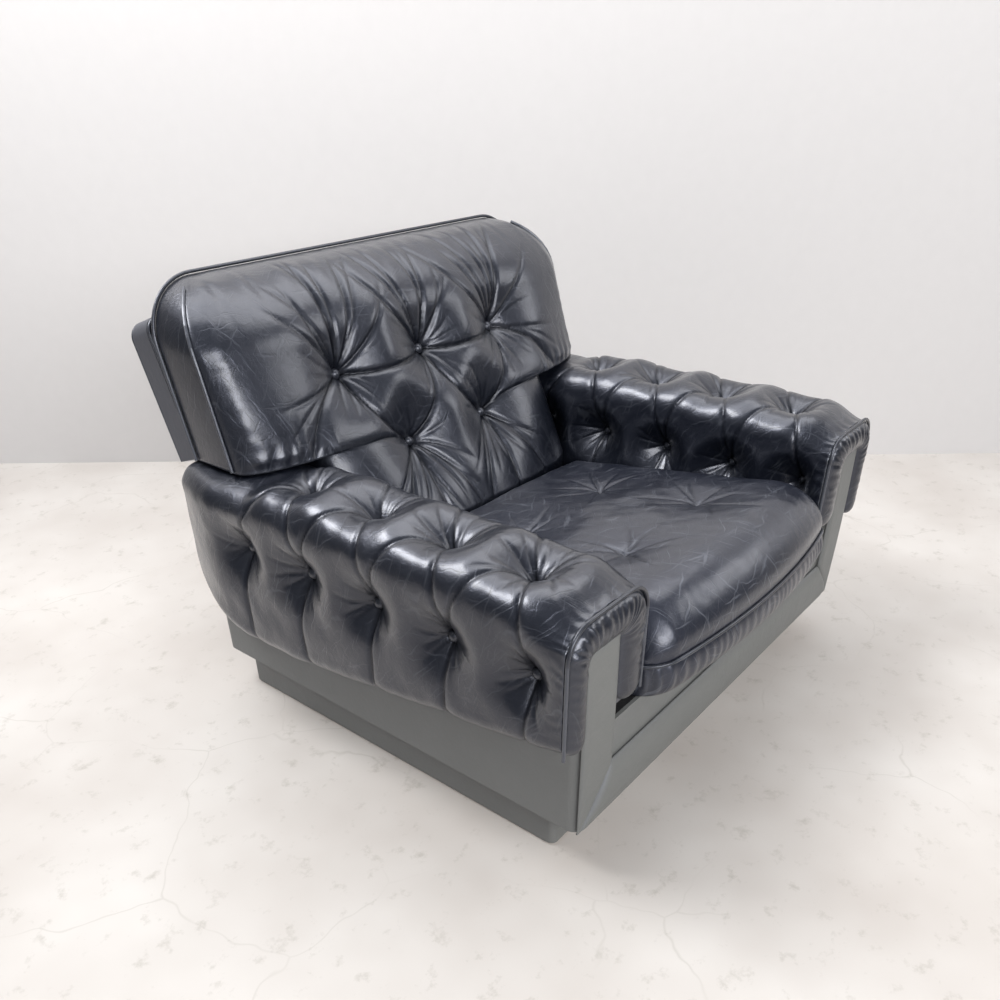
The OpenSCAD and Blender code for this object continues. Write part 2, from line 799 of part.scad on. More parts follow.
function pad_loop(y) = concat(
    [for (k = [leg_steps : -1 : 1]) leg_point(k, y, pad_outer_x, -1,
        pad_spring_z - outer_row_z, pad_spring_z - outer_hem(y), pad_outer_t)],
    [for (k = [arch_steps : -1 : -arch_steps]) arch_point(k, y)],
    [for (k = [1 : leg_steps]) leg_point(k, y, pad_inner_x, 1,
        pad_spring_z - inner_row_z, pad_spring_z - inner_hem(y), pad_inner_t)],
    [[arm_inner_x - soft_gap, y, inner_hem(y)],
     [arm_inner_x - soft_gap, y, arm_top_z + soft_gap],
     [half_panel + soft_gap, y, arm_top_z + soft_gap],
     [half_panel + soft_gap, y, outer_hem(y)]]);

// Sections stand six to a button, and one passes through every button
pad_front_shares = [0, 0.25, 0.52, 0.82];
pad_section_shares = [0, 0.175, (top_row_y - outer_row_y) / arm_button_pitch, 0.545, 0.747,
    1 + (inner_row_y - outer_row_y) / arm_button_pitch];
function pad_sections() = concat(
    [for (s = pad_front_shares) mix(pad_start_y, inner_row_y, s)], [inner_row_y],
    [for (k = [0 : outer_row_count]) for (s = pad_section_shares)
        let (y = outer_row_y + (k + s) * arm_button_pitch) if (y < pad_rear_y - soft_gap) y],
    [pad_rear_y]);

function pad_end(start, count, turn) = let (middle = leg_steps + arch_steps) concat(
    fan(start, count - 2, 0, middle, turn), fan(start, count - 3, middle, count - 5, turn),
    fan(start, count - 3, count - 5, count - 4, turn),
    [for (t = [[count - 2, count - 1, 0], [count - 2, middle, count - 3]])
        [for (k = turn ? [2, 1, 0] : [0, 1, 2]) start + t[k]]]);

module arm_pad(which) {
    sections = pad_sections();
    count = 2 * leg_steps + 2 * arch_steps + 5;
    color(leather_c) side(which) from_panel_front() polyhedron(
        [for (y = sections) each pad_loop(y)],
        concat(loop_faces(count, len(sections)), pad_end(0, count, true),
            pad_end((len(sections) - 1) * count, count, false)), convexity = 6);
}

// A covered button on its tie, whose tip is at the origin and whose dome faces +Z
tie_h = 10.6;
tie_tip_r = 0.2;
tie_r = 3.5;
module button() {
    sphere_r = (pow(button_d / 2, 2) + pow(button_h, 2)) / (2 * button_h);
    translate([0, 0, soft_gap]) cylinder(h = tie_h, r1 = tie_tip_r, r2 = tie_r, $fn = 32);
    translate([0, 0, soft_gap + tie_h]) rotate_extrude($fn = 48) intersection() {
        translate([0, button_h - sphere_r]) circle(r = sphere_r, $fn = 64);
        square([button_d / 2, button_h]);
    }
}

module arm_buttons(which) {
    outer_x = pad_outer_x - outer_sink;
    top_z = pad_crown_z - top_sink;
    inner_x = pad_inner_x + inner_sink;
    color(leather_c) side(which) from_panel_front() {
        for (k = [0 : outer_row_count - 1])
            translate([outer_x, row_y(outer_row_y, k), outer_row_z]) rotate([0, 90, 0]) button();
        for (k = [0 : top_row_count - 1])
            translate([pad_mid_x, row_y(top_row_y, k), top_z]) button();
        for (k = [0 : inner_row_count - 1])
            translate([inner_x, row_y(inner_row_y, k), inner_row_z]) rotate([0, -90, 0]) button();
    }
}

// Seat cushion: its outline is straight at the sides and rear, and bows out at the front
seat_half = seat_width / 2 - piping_seat;
seat_nose_y = piping_seat - nose_overhang;
seat_end_y = seat_rear_y - piping_seat;
bow_chord = seat_half - seat_corner_r;
bow_r = (pow(bow_chord, 2) + pow(seat_bow, 2)) / (2 * seat_bow);
bow_centre_y = seat_nose_y / cos(seat_slope) + bow_r;
corner_y = bow_centre_y - sqrt(pow(bow_r - seat_corner_r, 2) - pow(bow_chord, 2));
corner_turn = asin(bow_chord / (bow_r - seat_corner_r));
// Half the bow's turn, short of the corners by a joint in the piping
bow_turn = corner_turn - asin(soft_gap / bow_r);
// Segments in a full turn of the wide bow
bow_steps = 720;
// The seat's tufts: distance from the middle, and the two rows from the front
seat_tuft_x = 128;
seat_tuft_y = [159, 374];
seat_dimple_r = 100;
seat_front_roll = 100;
seat_side_roll = 60;
seat_rear_roll = 30;
seat_column_steps = 10;
seat_edge_share = 0.4;
// Rows of points from the nose to the rear, closer at both ends
seat_row_shares = [0, 0.015, 0.04, 0.08, 0.13, 0.19, 0.25, 0.307, 0.364, 0.42, 0.48, 0.54,
    0.6, 0.656, 0.713, 0.77, 0.82, 0.865, 0.905, 0.94, 0.97, 0.99, 1];

function seat_front_y(x) = cos(seat_slope) * (abs(x) < bow_r * sin(corner_turn)
    ? bow_centre_y - sqrt(pow(bow_r, 2) - x * x)
    : corner_y - sqrt(max(0, pow(seat_corner_r, 2) - pow(abs(x) - bow_chord, 2))));
function seat_rise(x, y) =
    let (side_roll = roll(seat_half - abs(x), seat_side_roll),
        front_roll = roll(y - seat_front_y(x), seat_front_roll),
        rear_roll = roll(seat_end_y - y, seat_rear_roll))
    seat_border_h + (seat_side_h - seat_border_h) * side_roll * front_roll * rear_roll
        + seat_crown * (1 - pow(x / seat_half, 2)) * front_roll * rear_roll
        - max([for (t = seat_tuft_y)
            seat_tuft_depth * dimple(norm([abs(x) - seat_tuft_x, y - t]), seat_dimple_r)]);
function seat_column_x(k) = let (u = k / seat_column_steps)
    seat_half * (u * (1 + seat_edge_share) - seat_edge_share * pow(u, 3));
function seat_loop(share) =
    let (columns = [for (k = [-seat_column_steps : seat_column_steps]) seat_column_x(k)])
    concat(
        [for (x = columns) let (y = mix(seat_front_y(x), seat_end_y, share))
            [x, y, deck_z(y) + seat_rise(x, y)]],
        [for (k = [len(columns) - 1 : -1 : 0])
            let (x = columns[k], y = mix(seat_front_y(x), seat_end_y, share)) [x, y, deck_z(y)]]);
// Strips that close the bowed ends between the top and bottom chains of a loop
function end_strip(start, count, turn) = [for (i = [0 : count / 2 - 2]) each
    let (a = start + i, b = a + 1, d = start + count - 1 - i, c = d - 1)
    turn ? [[a, c, b], [a, d, c]] : [[a, b, c], [a, c, d]]];

module seat_cushion() {
    count = 4 * seat_column_steps + 2;
    rows = len(seat_row_shares);
    color(seat_c) from_panel_front() polyhedron(
        [for (share = seat_row_shares) each seat_loop(1 - share)],
        concat(loop_faces(count, rows), end_strip(0, count, true),
            end_strip((rows - 1) * count, count, false)), convexity = 6);
}

module seat_piping() {
    off = piping_r + soft_gap;
    half = seat_half + off;
    rear_y = (seat_end_y + off) / cos(seat_slope);
    color(seat_c) from_panel_front()
        translate([0, 0, seat_bottom_z + seat_border_h]) rotate([-seat_slope, 0, 0]) {
            cord_bend([0, bow_centre_y], bow_r + off, 270 - bow_turn, 2 * bow_turn, bow_steps);
            cord_bend([bow_chord, corner_y], seat_corner_r + off, 270 + corner_turn,
                90 - corner_turn);
            cord_bend([-bow_chord, corner_y], seat_corner_r + off, 180, 90 - corner_turn);
            for (x = [-half, half]) cord([x, corner_y, 0], [x, rear_y - off, 0]);
            cord([off - half, rear_y, 0], [half - off, rear_y, 0]);
            cord_bend([half - off, rear_y - off], off, 0, 90);
            cord_bend([off - half, rear_y - off], off, 90, 90);
        }
}

// Back cushion: each loop is level, with its rear on the reclined plane
back_half = back_width / 2;
stem_half = stem_width / 2;
stem_bottom_z = deck_z(seat_rear_y + seat_rear_gap) + soft_gap;
back_buttons_z = [back_upper_z, back_lower_z];
back_step = (back_upper_z - ear_bottom_z) / 4;
stem_step = 24;
corner_rise = back_corner_r * cos(back_recline);
corner_z = back_top_z - corner_rise;
back_roll_r = 108;
back_dimple_r = 120;
back_pleat_w = 16;
back_pleat_depth = 22;
stem_round = 60;
thin_edge = 6;

function back_rear_y(z) = cushion_base_y
    + (z - shell_base_z) * tan(z < shell_base_z ? shell_recline : back_recline);
function back_half_at(z) = z < ear_bottom_z - soft_gap ? stem_half
    : back_half - back_corner_r * (1 - sqrt(max(0, 1 - pow(max(0, z - corner_z) / corner_rise, 2))));
function over_top(z) = roll(back_top_z - z, back_roll_r);
function back_middle(z) = back_rear_y(z) - seat_rear_y - seat_rear_gap
    - max(0, z - knee_z) * tan(lounge_angle);
function back_edge(z) = z < ear_bottom_z - soft_gap ? back_middle(z) - stem_round
    : min(back_side_t, back_middle(z));
function back_depth(x, z) =
    let (half = back_half_at(z), u = min(1, abs(x) / half), edge = back_edge(z))
    thin_edge + (edge + (back_middle(z) - edge) * sqrt(1 - pow(u, 3)) - thin_edge) * over_top(z)
        - back_sink(x, z);
function upper_x(k) = (k - 1) * back_button_pitch;
function lower_x(k) = (k - 0.5) * back_button_pitch;
function back_dimples(p) = max(concat(
    [for (k = [0 : 2]) dimple(norm(p - [upper_x(k), back_upper_z]), back_dimple_r)],
    [for (k = [0, 1]) dimple(norm(p - [lower_x(k), back_lower_z]), back_dimple_r)]));
function back_pleats(p) = max(
    [for (k = [0, 1]) for (j = [k, k + 1])
        pleat(p, [lower_x(k), back_lower_z], [upper_x(j), back_upper_z], back_pleat_w)]);
function back_sink(x, z) = max(back_tuft_depth * back_dimples([x, z]),
    back_pleat_depth * back_pleats([x, z])) * over_top(z);

// Columns of points across the front: evenly over the buttons, then shares of what is left
back_column_step = back_button_pitch / 8;
even_columns = 9;
edge_shares = [0.25, 0.5, 0.72, 0.9, 1];
function back_columns(half) = let (last = even_columns * back_column_step) concat(
    [for (k = [len(edge_shares) - 1 : -1 : 0]) -mix(last, half, edge_shares[k])],
    [for (k = [-even_columns : even_columns]) k * back_column_step],
    [for (s = edge_shares) mix(last, half, s)]);
function back_loop(z) = let (half = back_half_at(z)) concat(
    [for (x = back_columns(half)) [x, back_rear_y(z) - back_depth(x, z), z]],
    [for (x = [half, 0, -half]) [x, back_rear_y(z), z]]);
// Loops of the stem up to the arms, of the ears, and of the rounded top
top_shares = [0.27, 0.48, 0.66, 0.8, 0.9, 0.97, 1];
function back_levels() = concat([stem_bottom_z],
    [for (k = [-11 : 1]) back_lower_z + k * stem_step],
    [ear_bottom_z - piping_r, ear_bottom_z],
    [for (k = [1 : 7]) ear_bottom_z + k * back_step],
    [for (s = top_shares) mix(ear_bottom_z + 7 * back_step, back_top_z, s)]);

function back_end(start, count, turn) = concat(fan(start, count - 2, 0, count - 3, turn),
    [turn ? [start + count - 2, start, start + count - 1]
        : [start + count - 2, start + count - 1, start]]);

module back_cushion() {
    levels = back_levels();
    count = 2 * even_columns + 2 * len(edge_shares) + 4;
    color(leather_c) from_panel_front() polyhedron(
        [for (k = [len(levels) - 1 : -1 : 0]) each back_loop(levels[k])],
        concat(loop_faces(count, len(levels)), back_end(0, count, true),
            back_end((len(levels) - 1) * count, count, false)), convexity = 6);
}

// Piping round the rear outline, and along the front edge of each side up to the corner
module back_piping() {
    off = piping_r + soft_gap;
    half = back_half + off;
    rise = (back_top_z - shell_base_z) / cos(back_recline);
    bend_z = rise - back_corner_r;
    low_z = (ear_bottom_z - shell_base_z) / cos(back_recline);
    r = back_corner_r + off;
    color(leather_c) from_panel_front() translate([0, cushion_base_y, shell_base_z])
        rotate([-back_recline, 0, 0]) translate([0, -piping_r, 0]) {
            for (x = [-half, half]) cord([x, 0, low_z], [x, 0, bend_z]);
            cord([r - half, 0, rise + off], [half - r, 0, rise + off]);
            rotate([90, 0, 0]) {
                cord_bend([half - r, bend_z], r, 0, 90);
                cord_bend([r - half, bend_z], r, 90, 90);
            }
        }
}

module back_side_seams() {
    for (which = ["left", "right"]) color(leather_c) side(which) from_panel_front()
        polyhedron([for (i = [0 : seam_rings - 1]) each seam_ring(i)],
            concat(loop_faces(seam_sides, seam_rings),
                fan(0, 0, 1, seam_sides - 1, true),
                fan((seam_rings - 1) * seam_sides, 0, 1, seam_sides - 1, false)));
}

// The side's front seam: a fine tube that climbs the side and runs in towards the rear corner
seam_sides = 8;
seam_rings = 16;
seam_turn = 62;
function seam_z(i) = let (straight = seam_rings / 2) i < straight
    ? mix(ear_bottom_z + piping_r, corner_z, i / straight)
    : corner_z + corner_rise * sin(seam_turn * (i - straight) / (seam_rings - 1 - straight));
function seam_way(i) = let (z = seam_z(i), a = asin(max(0, z - corner_z) / corner_rise),
    off = piping_r + soft_gap)
    [[back_half_at(z) + off * cos(a), back_rear_y(z) - back_depth(back_half_at(z), z), z
        + off * sin(a)], [cos(a), 0, sin(a)]];
function seam_ring(i) =
    let (p = seam_way(i), ahead = seam_way(min(i + 1, seam_rings - 1))[0],
        behind = seam_way(max(i - 1, 0))[0], t = (ahead - behind) / norm(ahead - behind),
        u = p[1], w = cross(t, u) / norm(cross(t, u)))
    [for (k = [0 : seam_sides - 1]) let (f = -360 * k / seam_sides)
        p[0] + [0, piping_r, 0] + piping_r * (cos(f) * cross(w, t) + sin(f) * w)];

module back_buttons() {
    color(leather_c) from_panel_front() {
        for (k = [0 : 2]) back_button(upper_x(k), back_upper_z);
        for (k = [0, 1]) back_button(lower_x(k), back_lower_z);
    }
}

module back_button(x, z) {
    translate([x, back_rear_y(z) - back_depth(x, z), z]) rotate([90 - lounge_angle, 0, 0])
        button();
}

plinth_board("front");  // plinth_front_board
plinth_board("rear");  // plinth_rear_board
plinth_board("left");  // plinth_left_board
plinth_board("right");  // plinth_right_board
plinth_cover("front");  // plinth_front_cover
plinth_cover("rear");  // plinth_rear_cover
plinth_side_covers();
glides();
arm_outer_board("left");  // left_arm_outer_board
arm_inner_board("left");  // left_arm_inner_board
arm_front_post("left");  // left_arm_front_post
arm_rear_post("left");  // left_arm_rear_post
arm_top_rail("left");  // left_arm_top_rail
arm_bottom_rail("left");  // left_arm_bottom_rail
arm_cover("left");  // left_arm_cover
arm_pad("left");  // left_arm_pad
arm_border("left");  // left_arm_border
arm_piping("left");  // left_arm_piping
arm_buttons("left");  // left_arm_buttons
arm_outer_board("right");  // right_arm_outer_board
arm_inner_board("right");  // right_arm_inner_board
arm_front_post("right");  // right_arm_front_post
arm_rear_post("right");  // right_arm_rear_post
arm_top_rail("right");  // right_arm_top_rail
arm_bottom_rail("right");  // right_arm_bottom_rail
arm_cover("right");  // right_arm_cover
arm_pad("right");  // right_arm_pad
arm_border("right");  // right_arm_border
arm_piping("right");  // right_arm_piping
arm_buttons("right");  // right_arm_buttons
arm_bolts();
front_rail();
front_lower_cover();
front_upper_cover();
seat_rail("left");  // left_seat_rail
seat_rail("right");  // right_seat_rail
rear_seat_rail();
seat_webbing();
deck_cloth();
dust_cloth();
back_foot_rail();
back_stile("left");  // left_back_stile
back_stile("right");  // right_back_stile
back_bottom_rail();
back_lower_rail();
back_top_rail();
back_wing_posts();
back_webbing();
back_lining();
shell_front_cover();
shell_rear_cover();
shell_band();
shell_piping();
rear_lower_cover();
back_cushion();
back_piping();
back_side_seams();
back_buttons();
seat_cushion();
seat_piping();
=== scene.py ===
"""Looks of the deep-buttoned leather armchair: soft pieces, leather, timber, floor, light and camera."""

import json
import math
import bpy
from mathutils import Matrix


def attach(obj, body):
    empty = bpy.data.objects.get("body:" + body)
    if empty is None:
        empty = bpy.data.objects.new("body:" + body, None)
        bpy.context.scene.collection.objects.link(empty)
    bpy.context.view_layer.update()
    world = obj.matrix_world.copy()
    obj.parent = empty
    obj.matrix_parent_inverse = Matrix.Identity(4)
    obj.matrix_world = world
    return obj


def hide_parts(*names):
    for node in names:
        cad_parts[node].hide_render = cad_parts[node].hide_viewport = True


bl_info = {
    "name": "Buttoned Leather Armchair",
    "version": (1, 0, 0),
    "blender": (4, 5, 0),
    "location": "View3D > Sidebar > Armchair",
    "description": "Builds the soft pieces, materials and studio of a deep-buttoned armchair",
    "category": "Object",
}

from types import SimpleNamespace

import bmesh
import bpy
import numpy as np
from mathutils import Matrix, Vector

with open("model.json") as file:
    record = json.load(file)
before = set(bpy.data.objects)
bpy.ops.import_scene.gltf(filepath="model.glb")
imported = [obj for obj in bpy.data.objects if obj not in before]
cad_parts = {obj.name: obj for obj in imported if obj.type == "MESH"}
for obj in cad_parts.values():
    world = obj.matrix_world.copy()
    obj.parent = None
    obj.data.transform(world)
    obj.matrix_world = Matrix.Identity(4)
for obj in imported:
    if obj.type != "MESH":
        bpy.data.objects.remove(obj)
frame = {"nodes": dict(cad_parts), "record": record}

# All lengths are in mm, and Y runs from the front of the side panels, except in the studio
MM = 0.001
PANEL_FRONT = -452.0


# ---------------------------------------------------------------- settings


def linear(code):
    """Linear colour of an sRGB hex code."""
    c = [int(code[i : i + 2], 16) / 255 for i in (1, 3, 5)]
    return tuple(v / 12.92 if v <= 0.04045 else ((v + 0.055) / 1.055) ** 2.4 for v in c) + (1.0,)


def length(name, description, default, low, high):
    """A length setting, given in mm and kept in metres."""
    return bpy.props.FloatProperty(
        name=name,
        description=description,
        default=default * MM,
        min=low * MM,
        max=high * MM,
        subtype="DISTANCE",
        unit="LENGTH",
        precision=4,
    )


def colour(name, description, code):
    """A colour setting, given as an sRGB hex code."""
    return bpy.props.FloatVectorProperty(
        name=name,
        description=description,
        default=linear(code),
        size=4,
        min=0.0,
        max=1.0,
        subtype="COLOR",
    )


def in_mm(settings):
    """The lengths of a group of settings as plain numbers in mm."""
    names = type(settings).__annotations__
    return SimpleNamespace(**{k: round(getattr(settings, k) / MM, 3) for k in names})


STEP = ("Mesh step", "Distance between the points of the leather's mesh", 3.2, 3.0, 12.0)


class ArmSettings(bpy.types.PropertyGroup):
    """Sizes of the buttoned arm pads."""

    tuft_depth: length("Side tuft depth", "How far the outer buttons are drawn in", 45.0, 20.0, 55.0)
    top_tuft_depth: length("Top tuft depth", "How far the top buttons are drawn in", 62.0, 20.0, 70.0)
    pitch: length("Button pitch", "Distance between the buttons of a row", 154.0, 140.0, 160.0)
    pleat_depth: length("Pleat depth", "Depth of the pleats at the buttons", 15.0, 1.0, 30.0)
    step: length(*STEP)


class BackSettings(bpy.types.PropertyGroup):
    """Sizes of the buttoned back cushion."""

    tuft_depth: length("Tuft depth", "How far the buttons are drawn in", 60.0, 20.0, 70.0)
    pleat_depth: length("Pleat depth", "Depth of the pleats at the buttons", 19.0, 1.0, 40.0)
    step: length(*STEP)


class SeatSettings(bpy.types.PropertyGroup):
    """Sizes of the seat cushion."""

    tuft_depth: length("Tuft depth", "How far the sewn tufts are drawn in", 20.0, 5.0, 30.0)
    crown: length("Crown", "How far the middle stands above the sides", 12.0, 0.0, 20.0)
    step: length(*STEP)


class FinishSettings(bpy.types.PropertyGroup):
    """Leather finish and studio light."""

    pads: colour("Buttoned leather", "Colour of the arm pads and the back cushion", "#0d1018")
    seat: colour("Seat leather", "Colour of the seat cushion", "#151822")
    # The panels' pale grey is partly their own smoother finish and partly a painted reflection of the pale
    # room; the shell's darker grey is painted shade where the lamp on the left lights it
    panels: colour("Panel leather", "Colour of the flat panels and the plinth", "#696a67")
    shell: colour("Shell leather", "Colour of the shell behind the back cushion", "#3f4045")
    piping: colour("Piping leather", "Colour of the piping and the seams", "#17191e")
    roughness: bpy.props.FloatProperty(
        name="Roughness",
        description="How matt the buttoned leather is; the other leathers follow",
        default=0.34,
        min=0.1,
        max=0.9,
        subtype="FACTOR",
    )
    wear: bpy.props.FloatProperty(
        name="Wear",
        description="How far the finish is rubbed off edges and creases",
        default=0.6,
        min=0.0,
        max=1.0,
        subtype="FACTOR",
    )
    key: bpy.props.FloatProperty(
        name="Window light",
        description="Power of the window light; the other lamps follow",
        default=36.0,
        min=0.0,
        max=400.0,
        unit="POWER",
    )


# ---------------------------------------------------------------- shaping helpers


def smooth(t):
    """0 to 1 with level ends."""
    t = np.clip(t, 0.0, 1.0)
    return t * t * (3 - 2 * t)


def mix(a, b, t):
    return a + (b - a) * t


def power(x, p):
    """Power of x, and 0 where x is below 0."""
    return np.power(np.maximum(x, 0.0), p)


def quarter(t):
    """Height of a quarter round at share t of its width: 0 at the edge, 1 from the top on."""
    return np.sqrt(np.clip(1 - (1 - np.clip(t, 0, 1)) ** 2, 0, 1))


def ripple(p, seed, size):
    """Smooth seeded noise of about that size in mm, from -1 to 1, at points p (N x 2)."""
    count, tallest = 7, 1.6
    rng = np.random.default_rng(seed)
    total = np.zeros(len(p))
    for _ in range(count):
        a = rng.uniform(0, 2 * math.pi)
        k = 2 * math.pi / (size * rng.uniform(0.7, 1.5))
        total += np.sin(k * (p[:, 0] * math.cos(a) + p[:, 1] * math.sin(a)) + rng.uniform(0, 2 * math.pi))
    return total / math.sqrt(count) / tallest


def groove(p, path, width, depth, sharp):
    """Depth at points p of a groove along a path. Width and depth are numbers, or one per path point."""
    path = np.asarray(path, float)
    n = len(path)
    width = np.broadcast_to(np.asarray(width, float), (n,))
    depth = np.broadcast_to(np.asarray(depth, float), (n,))
    # Only the points near enough to sink are worked out
    reach = 3.6 * width.max() + 2.0
    near = np.flatnonzero(((p > path.min(0) - reach) & (p < path.max(0) + reach)).all(1))
    q = p[near]
    found = np.zeros(len(q))
    for i in range(n - 1):
        a, b = path[i], path[i + 1]
        v = b - a
        t = np.clip(((q - a) @ v) / max(float(v @ v), 1e-9), 0, 1)
        d = np.linalg.norm(q - a - t[:, None] * v, axis=1)
        w = mix(width[i], width[i + 1], t)
        h = mix(depth[i], depth[i + 1], t)
        found = np.maximum(found, h * np.exp(-np.power(d / w, sharp)))
    total = np.zeros(len(p))
    total[near] = found
    return total


def pleats(p, runs, wide, thin, share):
    """The valley, which has that share of the depth, and the thin line of pleats, from (path, depths)."""
    valley, line = np.zeros(len(p)), np.zeros(len(p))
    for path, depth in runs:
        valley += groove(p, path, wide, depth * share, 1.7) ** 3
        line = np.maximum(line, groove(p, path, thin, depth * 0.5, 1.25))
    return np.cbrt(valley), line


def bend_path(a, b, sag, count=9):
    """Points of an arc from a to b that bows sideways by sag."""
    a, b = np.asarray(a, float), np.asarray(b, float)
    t = np.linspace(0, 1, count)[:, None]
    v = b - a
    side = np.array([-v[1], v[0]]) / max(np.linalg.norm(v), 1e-9)
    return a + v * t + side * (4 * sag * t * (1 - t))


def fan(p, centre, angles, length, width, depth, seed, spread):
    """Creases that run out of one point, at these angles in degrees, fading with distance."""
    rng = np.random.default_rng(seed)
    centre = np.asarray(centre, float)
    near = np.linalg.norm(p - centre, axis=1) < length * 1.6
    q = p[near]
    out = np.zeros(len(q))
    count = 7
    fade = np.linspace(1, 0, count) ** 0.8
    widths = width * np.linspace(0.7, 1.3, count)
    for angle in angles:
        a = math.radians(angle + rng.uniform(-1, 1) * spread)
        reach = length * rng.uniform(0.65, 1.25)
        end = centre + reach * np.array([math.cos(a), math.sin(a)])
        path = bend_path(centre, end, reach * rng.uniform(-0.09, 0.09), count)
        out = np.maximum(out, groove(q, path, widths, depth * fade * rng.uniform(0.6, 1.1), 1.3))
    total = np.zeros(len(p))
    total[near] = out
    return total


def tuft(p, centre, depth, bowl, cone):
    """A wide bowl with a narrow cone down to the button."""
    d = np.linalg.norm(p - np.asarray(centre, float), axis=1)
    return depth * (0.44 * np.exp(-((d / bowl) ** 2)) + 0.56 * np.exp(-d / cone))


def drawn(p, rows):
    """Tufts that run smoothly into each other, from rows of (centres, depth, bowl, cone)."""
    total = np.zeros(len(p))
    for centres, depth, bowl, cone in rows:
        for c in centres:
            total += tuft(p, c, depth, bowl, cone) ** 3
    return np.cbrt(total)


def spaced(values, step):
    """Stations about a step apart, through every given value."""
    values = sorted(values)
    out = [values[0]]
    for a, b in zip(values, values[1:]):
        n = max(1, int(round((b - a) / step)))
        out += [a + (b - a) * k / n for k in range(1, n + 1)]
    return np.array(out)


def mesh_object(name, points, faces, crease_shade=None, caps=0):
    """A mesh object from points in mm, measured from the front of the side panels.

    The painted shade of the creases, from 0 to 1, is kept at the first points. The last faces, as many as caps,
    are shaded flat.
    """
    pts = np.array(points, float)
    pts[:, 1] += PANEL_FRONT
    me = bpy.data.meshes.new(name)
    me.from_pydata((pts * MM).tolist(), [], [list(map(int, f)) for f in faces])
    me.validate()
    form = bmesh.new()
    form.from_mesh(me)
    bmesh.ops.recalc_face_normals(form, faces=form.faces)
    form.to_mesh(me)
    form.free()
    shaded = np.ones(len(me.polygons), dtype=bool)
    shaded[len(shaded) - caps :] = False
    me.polygons.foreach_set("use_smooth", shaded)
    # The painted shade of the creases goes to the shader as a point attribute
    if crease_shade is not None:
        values = np.zeros(len(pts))
        values[: len(crease_shade)] = np.clip(crease_shade, 0, 1)
        me.attributes.new("crease_shade", "FLOAT", "POINT").data.foreach_set("value", values)
    o = bpy.data.objects.new(name, me)
    bpy.context.scene.collection.objects.link(o)
    return o


def grid_faces(rows, cols, start=0, wrap=False, flip=False):
    """Quads of a grid of points kept row by row."""
    out = []
    for j in range(rows - 1):
        for i in range(cols if wrap else cols - 1):
            a = start + j * cols + i
            b = start + j * cols + (i + 1) % cols
            quad = (a, b, b + cols, a + cols)
            out.append(quad[::-1] if flip else quad)
    return out


def rim_of(rows, cols):
    """Points round the border of a grid kept row by row, each once."""
    rim = list(range(cols)) + [j * cols + cols - 1 for j in range(1, rows)]
    rim += [(rows - 1) * cols + i for i in range(cols - 2, -1, -1)]
    return rim + [j * cols for j in range(rows - 2, 0, -1)]


def slab(name, front, rear, rows, cols):
    """A closed sheet from the grid of its front and the grid of its rear."""
    n = rows * cols
    rim = rim_of(rows, cols)
    faces = grid_faces(rows, cols) + grid_faces(rows, cols, start=n, flip=True)
    faces += [(a, b, b + n, a + n) for a, b in zip(rim, rim[1:] + rim[:1])]
    return mesh_object(name, np.concatenate([front, rear]), faces)


def wall(points, faces, ring, layers):
    """Adds layers of points below a closed ring, with quads between them. Gives the points and last ring."""
    stack, n = [points], len(ring)
    for k, layer in enumerate(layers):
        below = [len(points) + k * n + i for i in range(n)]
        faces += [(ring[i], below[i], below[(i + 1) % n], ring[(i + 1) % n]) for i in range(n)]
        stack.append(layer)
        ring = below
    return np.concatenate(stack), ring


# ---------------------------------------------------------------- arm pads

# Timber of the arm under its pad: inner and outer side, and top
ARM_IN, ARM_OUT, ARM_TOP = 395.0, 475.0, 409.0
# The pad saddles it: outer and inner side, front and rear end
PAD_OUT, PAD_IN = 525.0, 325.0
PAD_MID, PAD_HALF = (PAD_OUT + PAD_IN) / 2, (PAD_OUT - PAD_IN) / 2
PAD_Y0, PAD_Y1 = 3.0, 875.0
# Heights: where the legs begin, and the top at the front, along the arm, under the ear and at the rear
PAD_SPRING, PAD_FRONT, PAD_CROWN, PAD_EAR, PAD_TAIL = 424.0, 470.0, 508.0, 480.0, 456.0
FRONT_RAMP, EAR_START, EAR_END = 84.0, 603.0, 668.0
# Lower edges, outer and inner, at the front and where they are lowest, and the outer one's rise at the rear
HEM, HEM_LOW, HEM_RISE, HEM_LOW_Y, HEM_TURN_Y = 264.0, 184.0, 66.0, 576.0, 700.0
INNER_HEM, INNER_HEM_LOW = 282.0, 242.0
# Half the leather's way over the top, and how square the arch is (1 is round)
ARCH, ARCH_SQUARE = 150.0, 0.86
# Buttons: first of each row along the arm, and each row's way over it
OUTER_ROW, TOP_ROW, INNER_ROW = 69.0, 122.0, 61.0
OUTER_Q = ARCH + PAD_SPRING - 363.0
INNER_Q = -(ARCH + PAD_SPRING - 360.0)
# Reach of the bowl and of the cone of each row's tufts, and how much deeper the inner ones are
OUTER_TUFT, TOP_TUFT, INNER_TUFT, INNER_DEEPER = (50, 17), (60, 21), (52, 17), 1.36
# Depth of a pleat from button to button, as shares: it is shallow over the shoulder
SHOULDER_SHARES = np.array([1.0, 0.86, 0.68, 0.52, 0.46, 0.52, 0.68, 0.86, 1.0])
# Width of a pleat's valley and line, and the valley's share of the depth
ARM_PLEATS = (15.0, 3.3, 0.26)
# Length, width and depth of the small creases round a top button and a side button
TOP_STAR, SIDE_STAR = (84, 2.8, 6.8), (60, 2.6, 6.2)
# Where the pleats of the side buttons end, near the hems
OUTER_END_Q, INNER_END_Q = 395.0, -330.0
# The least padding stays between the leather and the arm: at the outer side, the inner side and the top
OUTER_ROOM, INNER_ROOM, TOP_ROOM = 44.0, 64.0, 90.0
# How far the leather turns in at the hems and at the rear end, and over which width
HEM_TUCK, REAR_TUCK, TUCK_WIDTH = 24.0, 15.0, 30.0
